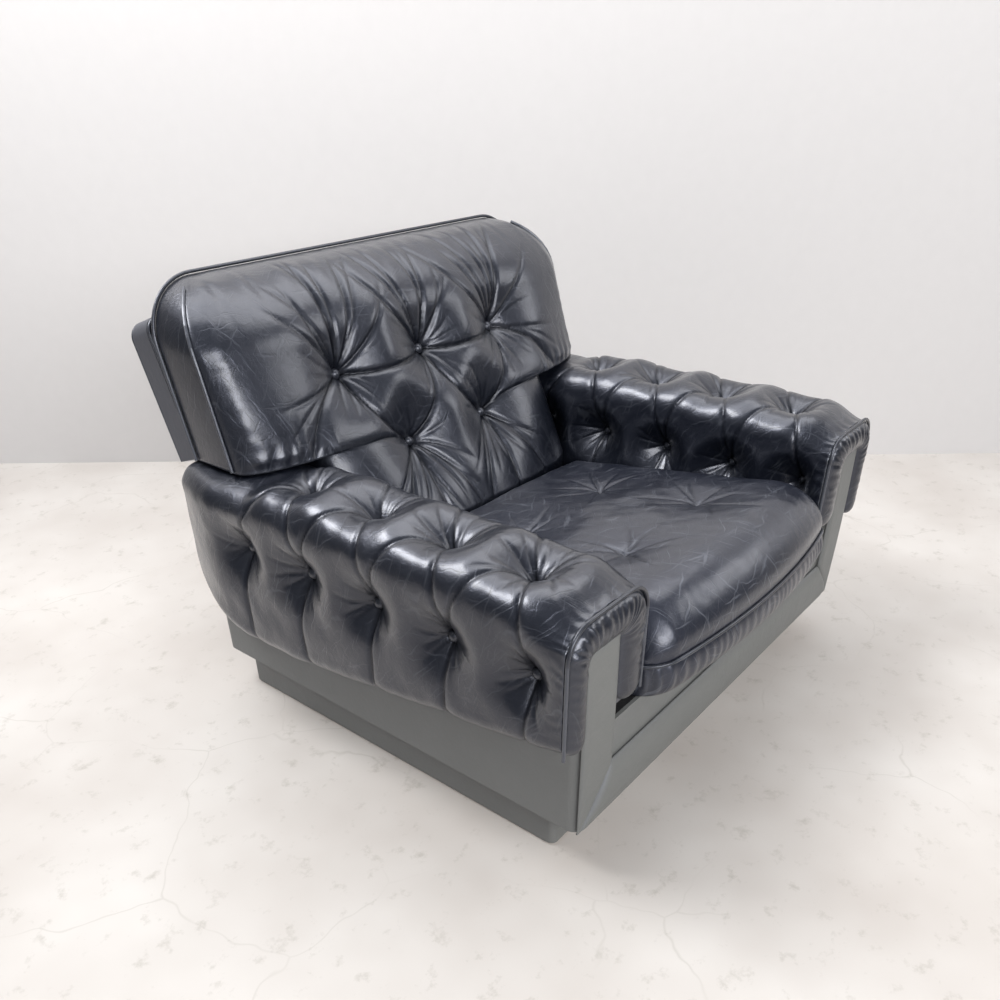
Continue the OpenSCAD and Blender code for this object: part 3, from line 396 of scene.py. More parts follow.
# Behind the last button the outer side draws in to the panel
DRAW_IN, DRAW_IN_Y = 36.0, 742.0
CLEAR = 0.6
# About the length of the pad's legs, for the number of their points, and the fewest of these
PAD_LEG, LEG_POINTS = 205.0, 20


def pad_top(y):
    front = mix(PAD_FRONT, PAD_CROWN, smooth((y - PAD_Y0) / FRONT_RAMP))
    ear = mix(PAD_CROWN, PAD_EAR, smooth((y - EAR_START) / (EAR_END - EAR_START)))
    rear = mix(PAD_EAR, PAD_TAIL, power((y - EAR_END) / (PAD_Y1 - EAR_END), 8))
    return np.where(y < EAR_START, front, np.where(y < EAR_END, ear, rear))


def pad_hem(y):
    rise = HEM_RISE * power((y - HEM_TURN_Y) / (PAD_Y1 - HEM_TURN_Y), 1.6)
    return mix(HEM, HEM_LOW, np.minimum(1, y / HEM_LOW_Y)) + rise


def pad_inner_hem(y):
    return mix(INNER_HEM, INNER_HEM_LOW, y / PAD_Y1)


def pad_base(q, y):
    """Undimpled surface of the left pad at q mm over its top and y along it, and the way into the pad."""
    f = np.clip(q / ARCH, -1, 1) * math.pi / 2
    s, c = np.sin(f), np.cos(f)
    x = PAD_MID + PAD_HALF * np.sign(s) * power(np.abs(s), ARCH_SQUARE)
    z = PAD_SPRING + (pad_top(y) - PAD_SPRING) * power(c, ARCH_SQUARE) - np.maximum(np.abs(q) - ARCH, 0)
    return np.stack([x, y, z], -1), np.stack([-s, np.zeros_like(s), -c], -1)


def arm_relief(p, s, seed):
    """How far the left pad's leather sinks at points p (q, y), and how deep in the creases they lie, which sets
    the painted shade there.
    """
    rng = np.random.default_rng(seed)
    outer = [(OUTER_Q, OUTER_ROW + k * s.pitch) for k in range(5)]
    top = [(0.0, TOP_ROW + k * s.pitch) for k in range(4)]
    inner = [(INNER_Q, INNER_ROW + k * s.pitch) for k in range(5)]
    tufts = (
        (outer, s.tuft_depth, *OUTER_TUFT),
        (top, s.top_tuft_depth, *TOP_TUFT),
        (inner, s.tuft_depth * INNER_DEEPER, *INNER_TUFT),
    )
    dimples = drawn(p, tufts)
    # Pleats from each top button to the two nearest of each side, and from those to the hems
    runs = []
    for k in range(4):
        for row in (outer, inner):
            for j in (k, k + 1):
                way = (1 if j == k else -1) * -np.sign(row[j][0])
                path = bend_path(top[k], row[j], way * rng.uniform(9, 15))
                runs.append((path, s.pleat_depth * SHOULDER_SHARES * rng.uniform(0.85, 1.1)))
    for row, end in ((outer, OUTER_END_Q), (inner, INNER_END_Q)):
        for c in row:
            path = bend_path(c, (end, c[1] + rng.uniform(-9, 9)), rng.uniform(-8, 8))
            runs.append((path, s.pleat_depth * np.linspace(0.85, 0.5, 9)))
    valley, line = pleats(p, runs, *ARM_PLEATS)
    stars = np.zeros(len(p))
    for buttons, size, first, spread in ((top, TOP_STAR, 0, 9), (outer + inner, SIDE_STAR, 9, 10)):
        for i, c in enumerate(buttons):
            angles = np.arange(0, 360, 30) + rng.uniform(0, 20)
            stars = np.maximum(stars, fan(p, c, angles, *size, seed * 40 + first + i, spread))
    # Gathers where the leather meets the front piping
    folds = 0.5 + 0.5 * np.sin(p[:, 0] / 3.6 + 2.4 * ripple(p, seed + 5, 60))
    gather = 1.5 * np.exp(-(p[:, 1] - PAD_Y0) / 20.0) * folds
    loose = 1.2 * ripple(p, seed + 1, 95) + 0.35 * ripple(p, seed + 2, 38)
    puff = -3.5 * np.exp(-((dimples / 15.0) ** 2)) * (1 - valley / 20.0)
    sink = np.cbrt(dimples ** 3 + valley ** 3) + puff + loose
    sink += line * power(1 - dimples / 80.0, 1.0) + stars * power(1 - dimples / 70.0, 0.6)
    # Painted shade along the pleat lines and the small creases
    crease_shade = 0.95 * (line / (0.5 * s.pleat_depth)) ** 1.4 + 0.07 * stars
    return sink * smooth((p[:, 1] - PAD_Y0) / 64.0) + gather, crease_shade


def arm_pad(which, s, seed):
    """One pad as a closed saddle whose leather is drawn in at three rows of buttons."""
    side = 1.0 if which == "left" else -1.0
    stations = [v + k * s.pitch for k in range(5) for v in (INNER_ROW, OUTER_ROW, TOP_ROW)]
    ys = spaced(stations + [PAD_Y0, PAD_Y0 + 12.0, PAD_Y1 - 15.0, PAD_Y1], s.step)
    arch = spaced([-ARCH, 0, ARCH], s.step)
    legs = max(LEG_POINTS, int(round(PAD_LEG / s.step)))
    outer_end = ARCH + PAD_SPRING - pad_hem(ys)
    inner_end = ARCH + PAD_SPRING - pad_inner_hem(ys)
    ways = []
    for a, b in zip(outer_end, inner_end):
        down, up = np.linspace(a, ARCH, legs, endpoint=False), np.linspace(-ARCH, -b, legs + 1)[1:]
        ways.append(np.concatenate([down, arch[::-1], up]))
    rows, cols = len(ys), len(ways[0])
    q, y = np.concatenate(ways), np.repeat(ys, cols)
    base, inward = pad_base(q, y)
    sink, crease_shade = arm_relief(np.stack([q, y], -1), s, seed)
    base[:, 0] -= DRAW_IN * power((y - DRAW_IN_Y) / (PAD_Y1 - DRAW_IN_Y), 1.5) * smooth(q / ARCH)
    gap = np.where(q > 0, np.repeat(outer_end, cols) - q, np.repeat(inner_end, cols) + q)
    sink += HEM_TUCK * (1 - quarter(gap / TUCK_WIDTH)) + REAR_TUCK * (1 - quarter((PAD_Y1 - y) / TUCK_WIDTH))
    room = np.where(q > ARCH * 0.9, OUTER_ROOM, np.where(q < -ARCH * 0.9, INNER_ROOM, TOP_ROOM))
    pts = base + inward * np.minimum(sink, room)[:, None]
    pts[:, 0] = np.where(q > ARCH, np.maximum(pts[:, 0], ARM_OUT + 1.0), pts[:, 0])
    # Inside faces against the arm
    flat = np.full(rows, ARM_TOP)
    inside = [
        (ARM_IN - CLEAR, pad_inner_hem(ys)),
        (ARM_IN - CLEAR, flat),
        (ARM_OUT + CLEAR, flat),
        (ARM_OUT + CLEAR, pad_hem(ys)),
    ]
    inside = np.stack([np.stack([np.full(rows, x), ys, z], -1) for x, z in inside], 1)
    loop = np.concatenate([pts.reshape(rows, cols, 3), inside], axis=1)
    # Painted shade of the creases on the leather, none on the faces against the arm
    painted_shade_marks = np.zeros(loop.shape[:2])
    painted_shade_marks[:, :cols] = crease_shade.reshape(rows, cols)
    n = cols + 4
    points = loop.reshape(-1, 3)
    points[:, 0] *= side
    faces = grid_faces(rows, n, wrap=True, flip=side > 0)
    mid = cols // 2
    cap = [(n - 2, i, i + 1) for i in range(mid)] + [(n - 3, i, i + 1) for i in range(mid, cols - 1)]
    cap += [(n - 2, n - 1, 0), (n - 2, mid, n - 3), (n - 3, cols - 1, n - 4)]
    for first, as_is in ((0, side < 0), ((rows - 1) * n, side > 0)):
        for t in cap:
            t = tuple(first + k for k in t)
            faces.append(t if as_is else t[::-1])
    return mesh_object(f"{which}_arm_pad_leather", points, faces, painted_shade_marks.ravel(), 2 * len(cap))


# ---------------------------------------------------------------- back cushion

# Half widths of the T's ears and of its stem, and the heights of the stem's foot, the ears and the top
BACK_HALF, STEM_HALF = 478.0, 320.0
STEM_Z, EAR_Z, TOP_Z = 164.5, 484.0, 763.0
# The face leans back above the knee, and rolls over at the top
FACE_Y, KNEE_Z, ROLL_R = 564.0, 318.0, 108.0
ROLL_Z = TOP_Z - ROLL_R
# The rear is in two planes that meet here
BASE_Y, BASE_Z = 821.9, 477.0
EAR_LEAN, STEM_LEAN, FACE_LEAN = (math.radians(a) for a in (14, 19, 25))
CORNER_R = 100.0
CORNER_RISE = CORNER_R * math.cos(EAR_LEAN)
# Thickness at the ears' side seams and at the top seam, and how much thinner the stem is at its sides
EAR_EDGE, TOP_EDGE, STEM_THINNER = 108.0, 6.0, 60.0
# Buttons
BACK_PITCH, UPPER_Z, LOWER_Z = 217.0, 582.0, 440.0
UPPER = [(k * BACK_PITCH, UPPER_Z) for k in (-1, 0, 1)]
LOWER = [(k * BACK_PITCH, LOWER_Z) for k in (-0.5, 0.5)]
# Reach of the bowl and of the cone of each row's tufts
UPPER_TUFT, LOWER_TUFT = (86, 15), (88, 14)
# Width of a pleat's valley and line, and the valley's share of the depth
BACK_PLEATS = (24.0, 3.6, 0.5)
MIDWAY_SHARES = np.array([1.0, 0.93, 0.85, 0.8, 0.78, 0.8, 0.85, 0.93, 1.0])
# Long pleats to the T's corners, to the sides and down to the seat: button, end, bow, depth shares
LONG_PLEATS = (
    ((108.5, LOWER_Z), (330, 480), 14, 0.7, 0.3),
    ((217, UPPER_Z), (352, 486), 18, 0.95, 0.55),
    ((217, UPPER_Z), (400, 566), -9, 0.7, 0.0),
    ((217, UPPER_Z), (380, 520), 8, 0.5, 0.1),
    ((108.5, LOWER_Z), (104, 300), 6, 0.75, 0.45),
    ((108.5, LOWER_Z), (205, 310), 12, 0.75, 0.4),
    ((108.5, LOWER_Z), (18, 318), -10, 0.6, 0.35),
)
# Small creases of the upper and of the lower buttons: angles, length, width, depth, seed, spread
UPPER_CREASES = (
    ((40, 54, 66, 78, 90, 102, 114, 126, 140), 215, 3.4, 10.0, 10, 5),
    ((-20, -38, -55, -75, -98, -120, -140, -160, 12, 28, 152, 168), 95, 2.8, 5.0, 17, 7),
)
LOWER_CREASES = (
    ((-36, -50, -64, -80, -95, -110, -126, -142), 150, 3.2, 7.0, 23, 5),
    ((10, 28, 45, 65, 90, 112, 132, 150, 170), 85, 2.7, 4.6, 29, 7),
)
# Swell of the ears' side gussets, and the rows of points across a gusset
GUSSET, GUSSET_ROWS = 3.0, 14


def back_rear(z):
    return BASE_Y + (z - BASE_Z) * np.where(z < BASE_Z, math.tan(STEM_LEAN), math.tan(EAR_LEAN))


def back_half(z):
    corner = quarter(1 - (z - TOP_Z + CORNER_RISE) / CORNER_RISE)
    return np.where(z < EAR_Z - 0.5, STEM_HALF, BACK_HALF - CORNER_R * (1 - corner))


def back_front(x, z, ears):
    """Undimpled depth of the cushion in front of its rear plane."""
    half = np.where(ears, back_half(np.maximum(z, EAR_Z)), STEM_HALF)
    mid = back_rear(z) - FACE_Y - np.maximum(0, z - KNEE_Z) * math.tan(FACE_LEAN)
    edge = np.where(ears, np.minimum(EAR_EDGE, mid), mid - STEM_THINNER)
    shape = np.sqrt(np.clip(1 - np.clip(np.abs(x) / half, 0, 1) ** 3, 0, 1))
    return TOP_EDGE + (mix(edge, mid, shape) - TOP_EDGE) * quarter((TOP_Z - z) / ROLL_R)


def back_relief(p, s):
    """How far the face sinks at points p (x, length up the face), and how deep in the creases they lie, which
    sets the painted shade there.
    """
    seed = 3
    rng = np.random.default_rng(seed)
    # The leather is drawn in square to the face, so each tuft starts above its button
    lift, depth = s.tuft_depth * 0.375, s.tuft_depth * 0.89
    upper = [(x, v + lift) for x, v in UPPER]
    lower = [(x, v + lift) for x, v in LOWER]
    dimples = drawn(p, ((upper, depth, *UPPER_TUFT), (lower, depth, *LOWER_TUFT)))
    deep = s.pleat_depth
    runs = [(bend_path(a, b, rng.uniform(-19, -14)), deep * MIDWAY_SHARES) for a, b in zip(upper, upper[1:])]
    for i, low in enumerate(lower):
        for j, bow in ((i, -26), (i + 1, 26)):
            runs.append((bend_path(upper[j], low, bow), deep * 0.95 * MIDWAY_SHARES))
    for side in (-1, 1):
        for a, b, bow, first, last in LONG_PLEATS:
            path = bend_path((side * a[0], a[1] + lift), (side * b[0], b[1]), side * bow)
            runs.append((path, deep * np.linspace(first, last, 9)))
    valley, line = pleats(p, runs, *BACK_PLEATS)
    lines = np.zeros(len(p))
    for buttons, creases in ((upper, UPPER_CREASES), (lower, LOWER_CREASES)):
        for angles, far, wide, sunk, draw, spread in creases:
            for i, c in enumerate(buttons):
                lines = np.maximum(lines, fan(p, c, angles, far, wide, sunk, seed * draw + i, spread))
    # Gathers along the ears' lower seam, their side seams and the top piping
    x, v = p[:, 0], p[:, 1]
    low = 2.6 * np.exp(-np.abs(v - EAR_Z) / 22.0) * (np.abs(x) > 300)
    side = 1.3 * np.exp(-(BACK_HALF - np.abs(x)) / 20.0) * (v > EAR_Z)
    top = 1.5 * np.exp(-np.abs(825.0 - v) / 50.0)
    gathers = (
        low * np.sin(x / 4.6 + 2.2 * ripple(p, seed + 31, 80))
        + side * np.sin(v / 5.0 + 2.2 * ripple(p, seed + 33, 90))
        + top * np.sin(x / 6.5 + 2.4 * ripple(p, seed + 35, 90))
    )
    loose = 1.6 * ripple(p, seed + 1, 130)
    puff = -8.0 * np.exp(-((dimples / 18.0) ** 2)) * (1 - valley / 26.0)
    sink = np.cbrt(dimples ** 3 + valley ** 3) + gathers + loose + puff
    sink += line * power(1 - dimples / 90.0, 1.0) + lines * power(1 - dimples / 90.0, 0.6)
    return sink, (line / (0.5 * deep)) ** 1.4 + lines * 0.075


def back_cushion(s):
    """The T-shaped back cushion: one buttoned face, plain sides, flat rear."""
    stem = spaced([-STEM_HALF, *(k * BACK_PITCH / 2 for k in range(-2, 3)), STEM_HALF], s.step)
    ear_n = max(6, int(round((BACK_HALF - STEM_HALF) / s.step)))
    shares = np.linspace(0, 1, ear_n + 1)[1:]
    # Rows are even along the face, so they crowd together over the rounded top
    end = ROLL_Z + ROLL_R * math.pi / 2
    lengths = spaced([STEM_Z, LOWER_Z, EAR_Z, UPPER_Z, ROLL_Z, end], s.step)
    zs = np.where(lengths <= ROLL_Z, lengths, ROLL_Z + ROLL_R * np.sin((lengths - ROLL_Z) / ROLL_R))
    zs = np.minimum(zs, TOP_Z - 0.01)
    first_ear = int(np.argmin(np.abs(lengths - EAR_Z)))
    index, found = {}, []
    cols = ear_n * 2 + len(stem)
    for j, z in enumerate(zs):
        ears = j >= first_ear
        ear = STEM_HALF + ((back_half(z) if ears else STEM_HALF) - STEM_HALF) * shares
        for i, x in enumerate(np.concatenate([-ear[::-1], stem, ear])):
            if ears or ear_n <= i < cols - ear_n:
                index[j, i] = len(found)
                found.append((x, z, lengths[j], ears))
    x, z, v, ears = np.array(found, float).T
    ears = ears > 0.5

    def front_y(xx, zz):
        return back_rear(zz) - back_front(xx, zz, ears)

    # The way into the cushion is square to the face, and level near the seat and at the sides
    h = 2.0
    gx = np.clip((front_y(x + h, z) - front_y(x - h, z)) / (2 * h), -1.6, 1.6)
    above = np.minimum(z + h, TOP_Z - 0.02)
    gz = np.clip((front_y(x, above) - front_y(x, z - h)) / (above - z + h), -6, 6)
    into = -np.stack([gx, -np.ones_like(gx), gz], -1)
    into /= np.linalg.norm(into, axis=1)[:, None]
    turn = smooth((v - KNEE_Z) / 60.0)[:, None]
    into = np.array([[0.0, 1.0, 0.0]]) * (1 - turn) + (into * [0.35, 1.0, 1.0]) * turn
    sink, crease_shade = back_relief(np.stack([x, v], -1), s)
    # The seams hold the leather at the sides, along the ears and at the top
    hold = smooth((back_half(np.maximum(z, EAR_Z)) - np.abs(x)) / 34.0)
    hold = np.where(ears, hold, smooth((STEM_HALF - np.abs(x)) / 20.0 + 0.25))
    hold = hold * np.clip(0.12 + smooth((end - v) / 70.0), 0, 1)
    over_arm = ears & (np.abs(x) > STEM_HALF)
    under = np.where(over_arm, np.clip(0.3 + smooth((z - EAR_Z) / 26.0), 0, 1), 1.0)
    front = np.stack([x, front_y(x, z), z], -1) + into * (sink * hold * under)[:, None]
    front[:, 1] = np.minimum(front[:, 1], back_rear(z) - 4.0)
    faces = []
    for j, i in index:
        quad = ((j, i), (j, i + 1), (j + 1, i + 1), (j + 1, i))
        if all(k in index for k in quad):
            faces.append(tuple(index[k] for k in quad))
    # The border of the face, from the lower left corner, right, up and round
    last, right = len(zs) - 1, cols - ear_n - 1
    loop = [(0, i) for i in range(ear_n, right + 1)]
    loop += [(j, right) for j in range(1, first_ear + 1)]
    loop += [(first_ear, i) for i in range(right + 1, cols)]
    loop += [(j, cols - 1) for j in range(first_ear + 1, last + 1)]
    loop += [(last, i) for i in range(cols - 2, -1, -1)]
    loop += [(j, 0) for j in range(last - 1, first_ear - 1, -1)]
    loop += [(first_ear, i) for i in range(1, ear_n + 1)]
    loop += [(j, ear_n) for j in range(first_ear - 1, 0, -1)]
    ring = [index[k] for k in loop]
    j, i = np.array(loop).T
    seam = front[ring]
    rear = np.stack([seam[:, 0], back_rear(zs[j]), zs[j]], -1)
    outward = np.zeros((len(ring), 3))
    outward[:, 0] = GUSSET * (j > first_ear) * (1.0 * (i == cols - 1) - (i == 0))
    shares = [k / GUSSET_ROWS for k in range(1, GUSSET_ROWS + 1)]
    layers = [mix(seam, rear, t) + outward * (4 * t * (1 - t)) for t in shares]
    points, ring = wall(front, faces, ring, layers)
    # The flat rear is in two planes that meet where the ears begin
    stem_rear = [ring[k] for k in range(len(loop)) if j[k] <= first_ear and ear_n <= i[k] <= right]
    ear_rear = [ring[k] for k in range(len(loop)) if j[k] >= first_ear]
    faces += [tuple(stem_rear)[::-1], tuple(ear_rear)[::-1]]
    return mesh_object("back_cushion_leather", points, faces, crease_shade * hold)


# ---------------------------------------------------------------- seat cushion

# The deck's slope and its height at the panels' front
SLOPE, SEAT_Z = math.radians(8.7), 250.0
# Heights of the welt and of the sides above the deck, half width, and front and rear end
BORDER, SIDE_H, SEAT_HALF = 56.0, 150.0, 315.6
NOSE, SEAT_END = -52.6, 556.6
# The bowed front: its rise, its radius and centre, and its rounded corners
BOW, SEAT_CORNER = 23.0, 58.0
CHORD = SEAT_HALF - SEAT_CORNER
BOW_R = (CHORD ** 2 + BOW ** 2) / (2 * BOW)
BOW_C = NOSE / math.cos(SLOPE) + BOW_R
CORNER_Y = BOW_C - math.sqrt((BOW_R - SEAT_CORNER) ** 2 - CHORD ** 2)
TURN = math.asin(CHORD / (BOW_R - SEAT_CORNER))
# How far from each edge the top is rounded: sides, front, rear
SIDE_ROLL, NOSE_ROLL, TAIL_ROLL = 60.0, 100.0, 30.0
SEAT_TUFTS = [(side * 125.0, y) for side in (-1, 1) for y in (159.0, 374.0)]
# Reach of a tuft's bowl and cone, and the length, width and depth of its creases
SEAT_TUFT, SEAT_STAR = (70, 16), (105, 3.6, 5.0)
# Swell of the border under the welt, and the rows of points down it
BORDER_SWELL, BORDER_ROWS = 9.0, 12
# Length over the top from welt to rear, for the number of its rows
SEAT_LONG = 690.0


def seat_deck(y):
    return SEAT_Z - y * math.tan(SLOPE)


def seat_front(x):
    ax = np.abs(x)
    bow = BOW_C - np.sqrt(BOW_R ** 2 - ax ** 2)
    corner = CORNER_Y - np.sqrt(np.maximum(0, SEAT_CORNER ** 2 - np.maximum(0, ax - CHORD) ** 2))
    return math.cos(SLOPE) * np.where(ax < BOW_R * math.sin(TURN), bow, corner)


def seat_relief(p, s):
    """How far the top sinks at points p (x, y), and how deep in the creases they lie, which sets the painted
    shade there.
    """
    seed = 11
    rng = np.random.default_rng(seed)
    dimples = drawn(p, ((SEAT_TUFTS, s.tuft_depth, *SEAT_TUFT),))
    rays = np.zeros(len(p))
    for i, c in enumerate(SEAT_TUFTS):
        angles = np.arange(0, 360, 40) + rng.uniform(0, 40)
        rays = np.maximum(rays, fan(p, c, angles, *SEAT_STAR, seed + i, 12))
    # Gathers along the front welt, strongest at its corners
    x, ahead = p[:, 0], p[:, 1] - seat_front(p[:, 0])
    gather = 3.0 * np.exp(-ahead / 22.0) * (0.15 + power(np.abs(x) / SEAT_HALF, 5))
    gather *= np.sin(x / 4.2 + 2.5 * ripple(p, seed + 9, 60))
    loose = 1.1 * ripple(p, seed + 1, 120) + 0.5 * ripple(p, seed + 2, 48)
    # The creases from the tufts get a faint painted shade
    return dimples + rays * power(1 - dimples / 40.0, 0.5) + gather + loose, rays * 0.11


def seat_cushion(s):
    """The loose seat cushion: crowned top, bowed front over a welted border, sewn tufts."""
    # Points crowd together at the sides and at the front, where the top is rounded
    u = np.linspace(-1, 1, 2 * int(round(SEAT_HALF * 1.12 / s.step)) + 1)
    v = np.linspace(0, 1, int(round(SEAT_LONG / s.step)) + 1)
    v = np.where(v < 0.5, v - 0.06 * np.sin(2 * math.pi * v), v)
    x, v = (a.ravel() for a in np.meshgrid(SEAT_HALF * (1.25 * u - 0.25 * u ** 3), v))
    cols = len(u)
    rows = len(v) // cols
    y = mix(seat_front(x), SEAT_END, v)
    side = quarter((SEAT_HALF - np.abs(x)) / SIDE_ROLL)
    nose = quarter((y - seat_front(x)) / NOSE_ROLL)
    tail = quarter((SEAT_END - y) / TAIL_ROLL)
    rise = BORDER + (SIDE_H - BORDER) * side * nose * tail + s.crown * (1 - (x / SEAT_HALF) ** 2) * nose * tail
    sink, crease_shade = seat_relief(np.stack([x, y], -1), s)
    rise -= sink * np.clip(side * nose * tail * 1.15 - 0.1, 0, 1)
    # The leather swells a little past the welt
    swell = 5.0 * np.sin(np.clip((rise - BORDER) / 70.0, 0, 1) * math.pi)
    top = np.stack([x, y - swell * (1 - nose), seat_deck(y) + np.maximum(rise, BORDER)], -1)
    faces = grid_faces(rows, cols)
    rim = np.array(rim_of(rows, cols))
    x, y = top[rim, 0], top[rim, 1]
    along = np.concatenate([[0], np.cumsum(np.linalg.norm(np.diff(top[rim], axis=0), axis=1))])
    folds = (0.7 + 2.6 * power(np.abs(x) / SEAT_HALF, 6)) * np.sin(along / 3.4 + 2 * np.sin(along / 31.0))
    outward = 0.4 * (rim % cols == cols - 1) - 0.4 * (rim % cols == 0)
    layers = []
    for k in range(1, BORDER_ROWS + 1):
        t = k / BORDER_ROWS
        belly = math.sin(math.pi * t)
        puff = BORDER_SWELL * belly ** 0.8 + folds * belly
        down = seat_deck(y) + BORDER * (1 - t)
        layers.append(np.stack([x + puff * outward, y - puff * (rim < cols), down], -1))
    points, ring = wall(top, faces, rim.tolist(), layers)
    faces.append(tuple(ring)[::-1])
    return mesh_object("seat_cushion_leather", points, faces, crease_shade)


# ---------------------------------------------------------------- fronts

# Feet of the border's outer and inner leg, and its inset and corner radii inside the piping
OUTER_LEG, INNER_LEG = 262.0, 282.0
PIPED, BORDER_R, STILE_R = 5.5, 52.0, 9.0
BORDER_SIZE = (340, 22)
# The lower front strip and the stiles' mitres, from and to these heights
COVER_Z, FOLD_Z = 84.0, 178.0


def arch_line(left, right, top, r):
    """Points (x, z) over an arch with round corners, from the foot of its outer leg."""
    corner = np.linspace(0, math.pi / 2, 9)
    first = [(right - r + r * math.cos(a), top - r + r * math.sin(a)) for a in corner[1:]]
    second = [(left + r - r * math.sin(a), top - r + r * math.cos(a)) for a in corner]
    return np.array([(right, OUTER_LEG), (right, top - r), *first, *second, (left, INNER_LEG)])


def pad_border(which, seed):
    """The gathered leather inside the piping at the front of one pad."""
    side = 1.0 if which == "left" else -1.0
    rows, cols = BORDER_SIZE
    outer = arch_line(PAD_IN + PIPED, PAD_OUT - PIPED, PAD_FRONT - PIPED, BORDER_R)
    inner = arch_line(ARM_IN, ARM_OUT, ARM_TOP + 1.0, STILE_R)
    along = np.concatenate([[0], np.cumsum(np.linalg.norm(np.diff(outer, axis=0), axis=1))])
    total = along[-1]
    t = np.linspace(0, 1, rows)
    a, b = (np.stack([np.interp(t, along / total, line[:, k]) for k in (0, 1)], -1) for line in (outer, inner))
    length = t * total
    # Both legs end in a half round
    half = np.linalg.norm(a - b, axis=1) / 2
    share = np.maximum(quarter(np.minimum(length, total - length) / half), 0.02)[:, None]
    centre = (a + b) / 2
    a, b = centre + (a - centre) * share, centre + (b - centre) * share
    w = np.linspace(0, 1, cols)
    x, z = np.moveaxis(np.stack([a + (b - a) * k for k in w], 1), -1, 0)
    L, W = np.meshgrid(length, w, indexing="ij")
    noise = ripple(np.stack([L.ravel(), W.ravel() * 40], -1), seed, 55).reshape(rows, cols)
    folds = 0.6 * np.sin(L / 2.9 + 3.2 * noise + 6.0 * (W - 0.3) * noise) + 0.5 * np.sin(L / 5.1 - 3.0 * noise)
    high = np.exp(-((L - total * 0.5) / (total * 0.34)) ** 4)
    folds = folds * (0.35 + 1.1 * high) * (np.exp(-W / 0.55) + 0.1)
    rise = 15.0 * power(np.sin(math.pi * np.clip(W, 0.001, 0.999)), 0.55) * share
    y = PAD_Y0 - CLEAR - rise - 1.4 * folds * power(np.sin(math.pi * W), 0.6) * share
    front = np.stack([x * side, y, z], -1).reshape(-1, 3)
    rear = front.copy()
    rear[:, 1] = PAD_Y0 - 0.4
    return slab(f"{which}_arm_border_leather", front, rear, rows, cols)


def cushioned(name, low, high, left, right, base_y, swell, edge, deep, rows, cols, side=1.0):
    """A stretched leather strip between two heights whose left and right edges are given at each."""
    up, across = np.meshgrid(np.linspace(0, 1, rows), np.linspace(0, 1, cols), indexing="ij")
    height = mix(low, high, up)
    l, r = np.interp(height, *left), np.interp(height, *right)
    x = mix(l, r, across)
    d = np.minimum(np.minimum(x - l, r - x), np.minimum(height - low, high - height))
    round_off = quarter(d / edge)
    belly = np.sin(math.pi * up) ** 0.8
    y = base_y + deep - (deep + swell * 0.35) * round_off - swell * 0.65 * belly * round_off
    front = np.stack([x * side, y, height], -1).reshape(-1, 3)
    rear = front.copy()
    rear[:, 1] = np.maximum(front[:, 1] + 0.5, base_y + deep + 1.0)
    return slab(name, front, rear, rows, cols)


# ---------------------------------------------------------------- materials


def node(tree, kind, *inputs, **values):
    """Adds a node. Inputs go in by order or by name, and the rest are properties.

    An input is a value, a socket, or a node, which means its first output.
    """
    n = tree.nodes.new("ShaderNode" + kind)
    given = dict(enumerate(inputs))
    for key, value in values.items():
        if key.replace("_", " ") in n.inputs:
            given[key.replace("_", " ")] = value
        else:
            setattr(n, key, value)
    for key, value in given.items():
        if isinstance(value, bpy.types.Node):
            value = value.outputs[0]
        if isinstance(value, bpy.types.NodeSocket):
            tree.links.new(value, n.inputs[key])
        else:
            n.inputs[key].default_value = value
    return n


def per(size):
    """Scale of a pattern whose marks are about that many mm apart."""
    return 1.0 / (size * MM)


def marks_of(*sizes):
    """Scale of a texture mapping in which a pattern of scale 1 has marks of these sizes in mm."""
    return tuple(v * MM for v in sizes)


def new_material(name):
    """An empty material, its tree and the object's own coordinates in metres."""
    m = bpy.data.materials.get(name) or bpy.data.materials.new(name)
    m.use_nodes = True
    t = m.node_tree
    t.nodes.clear()
    return m, t, node(t, "TexCoord").outputs["Object"]


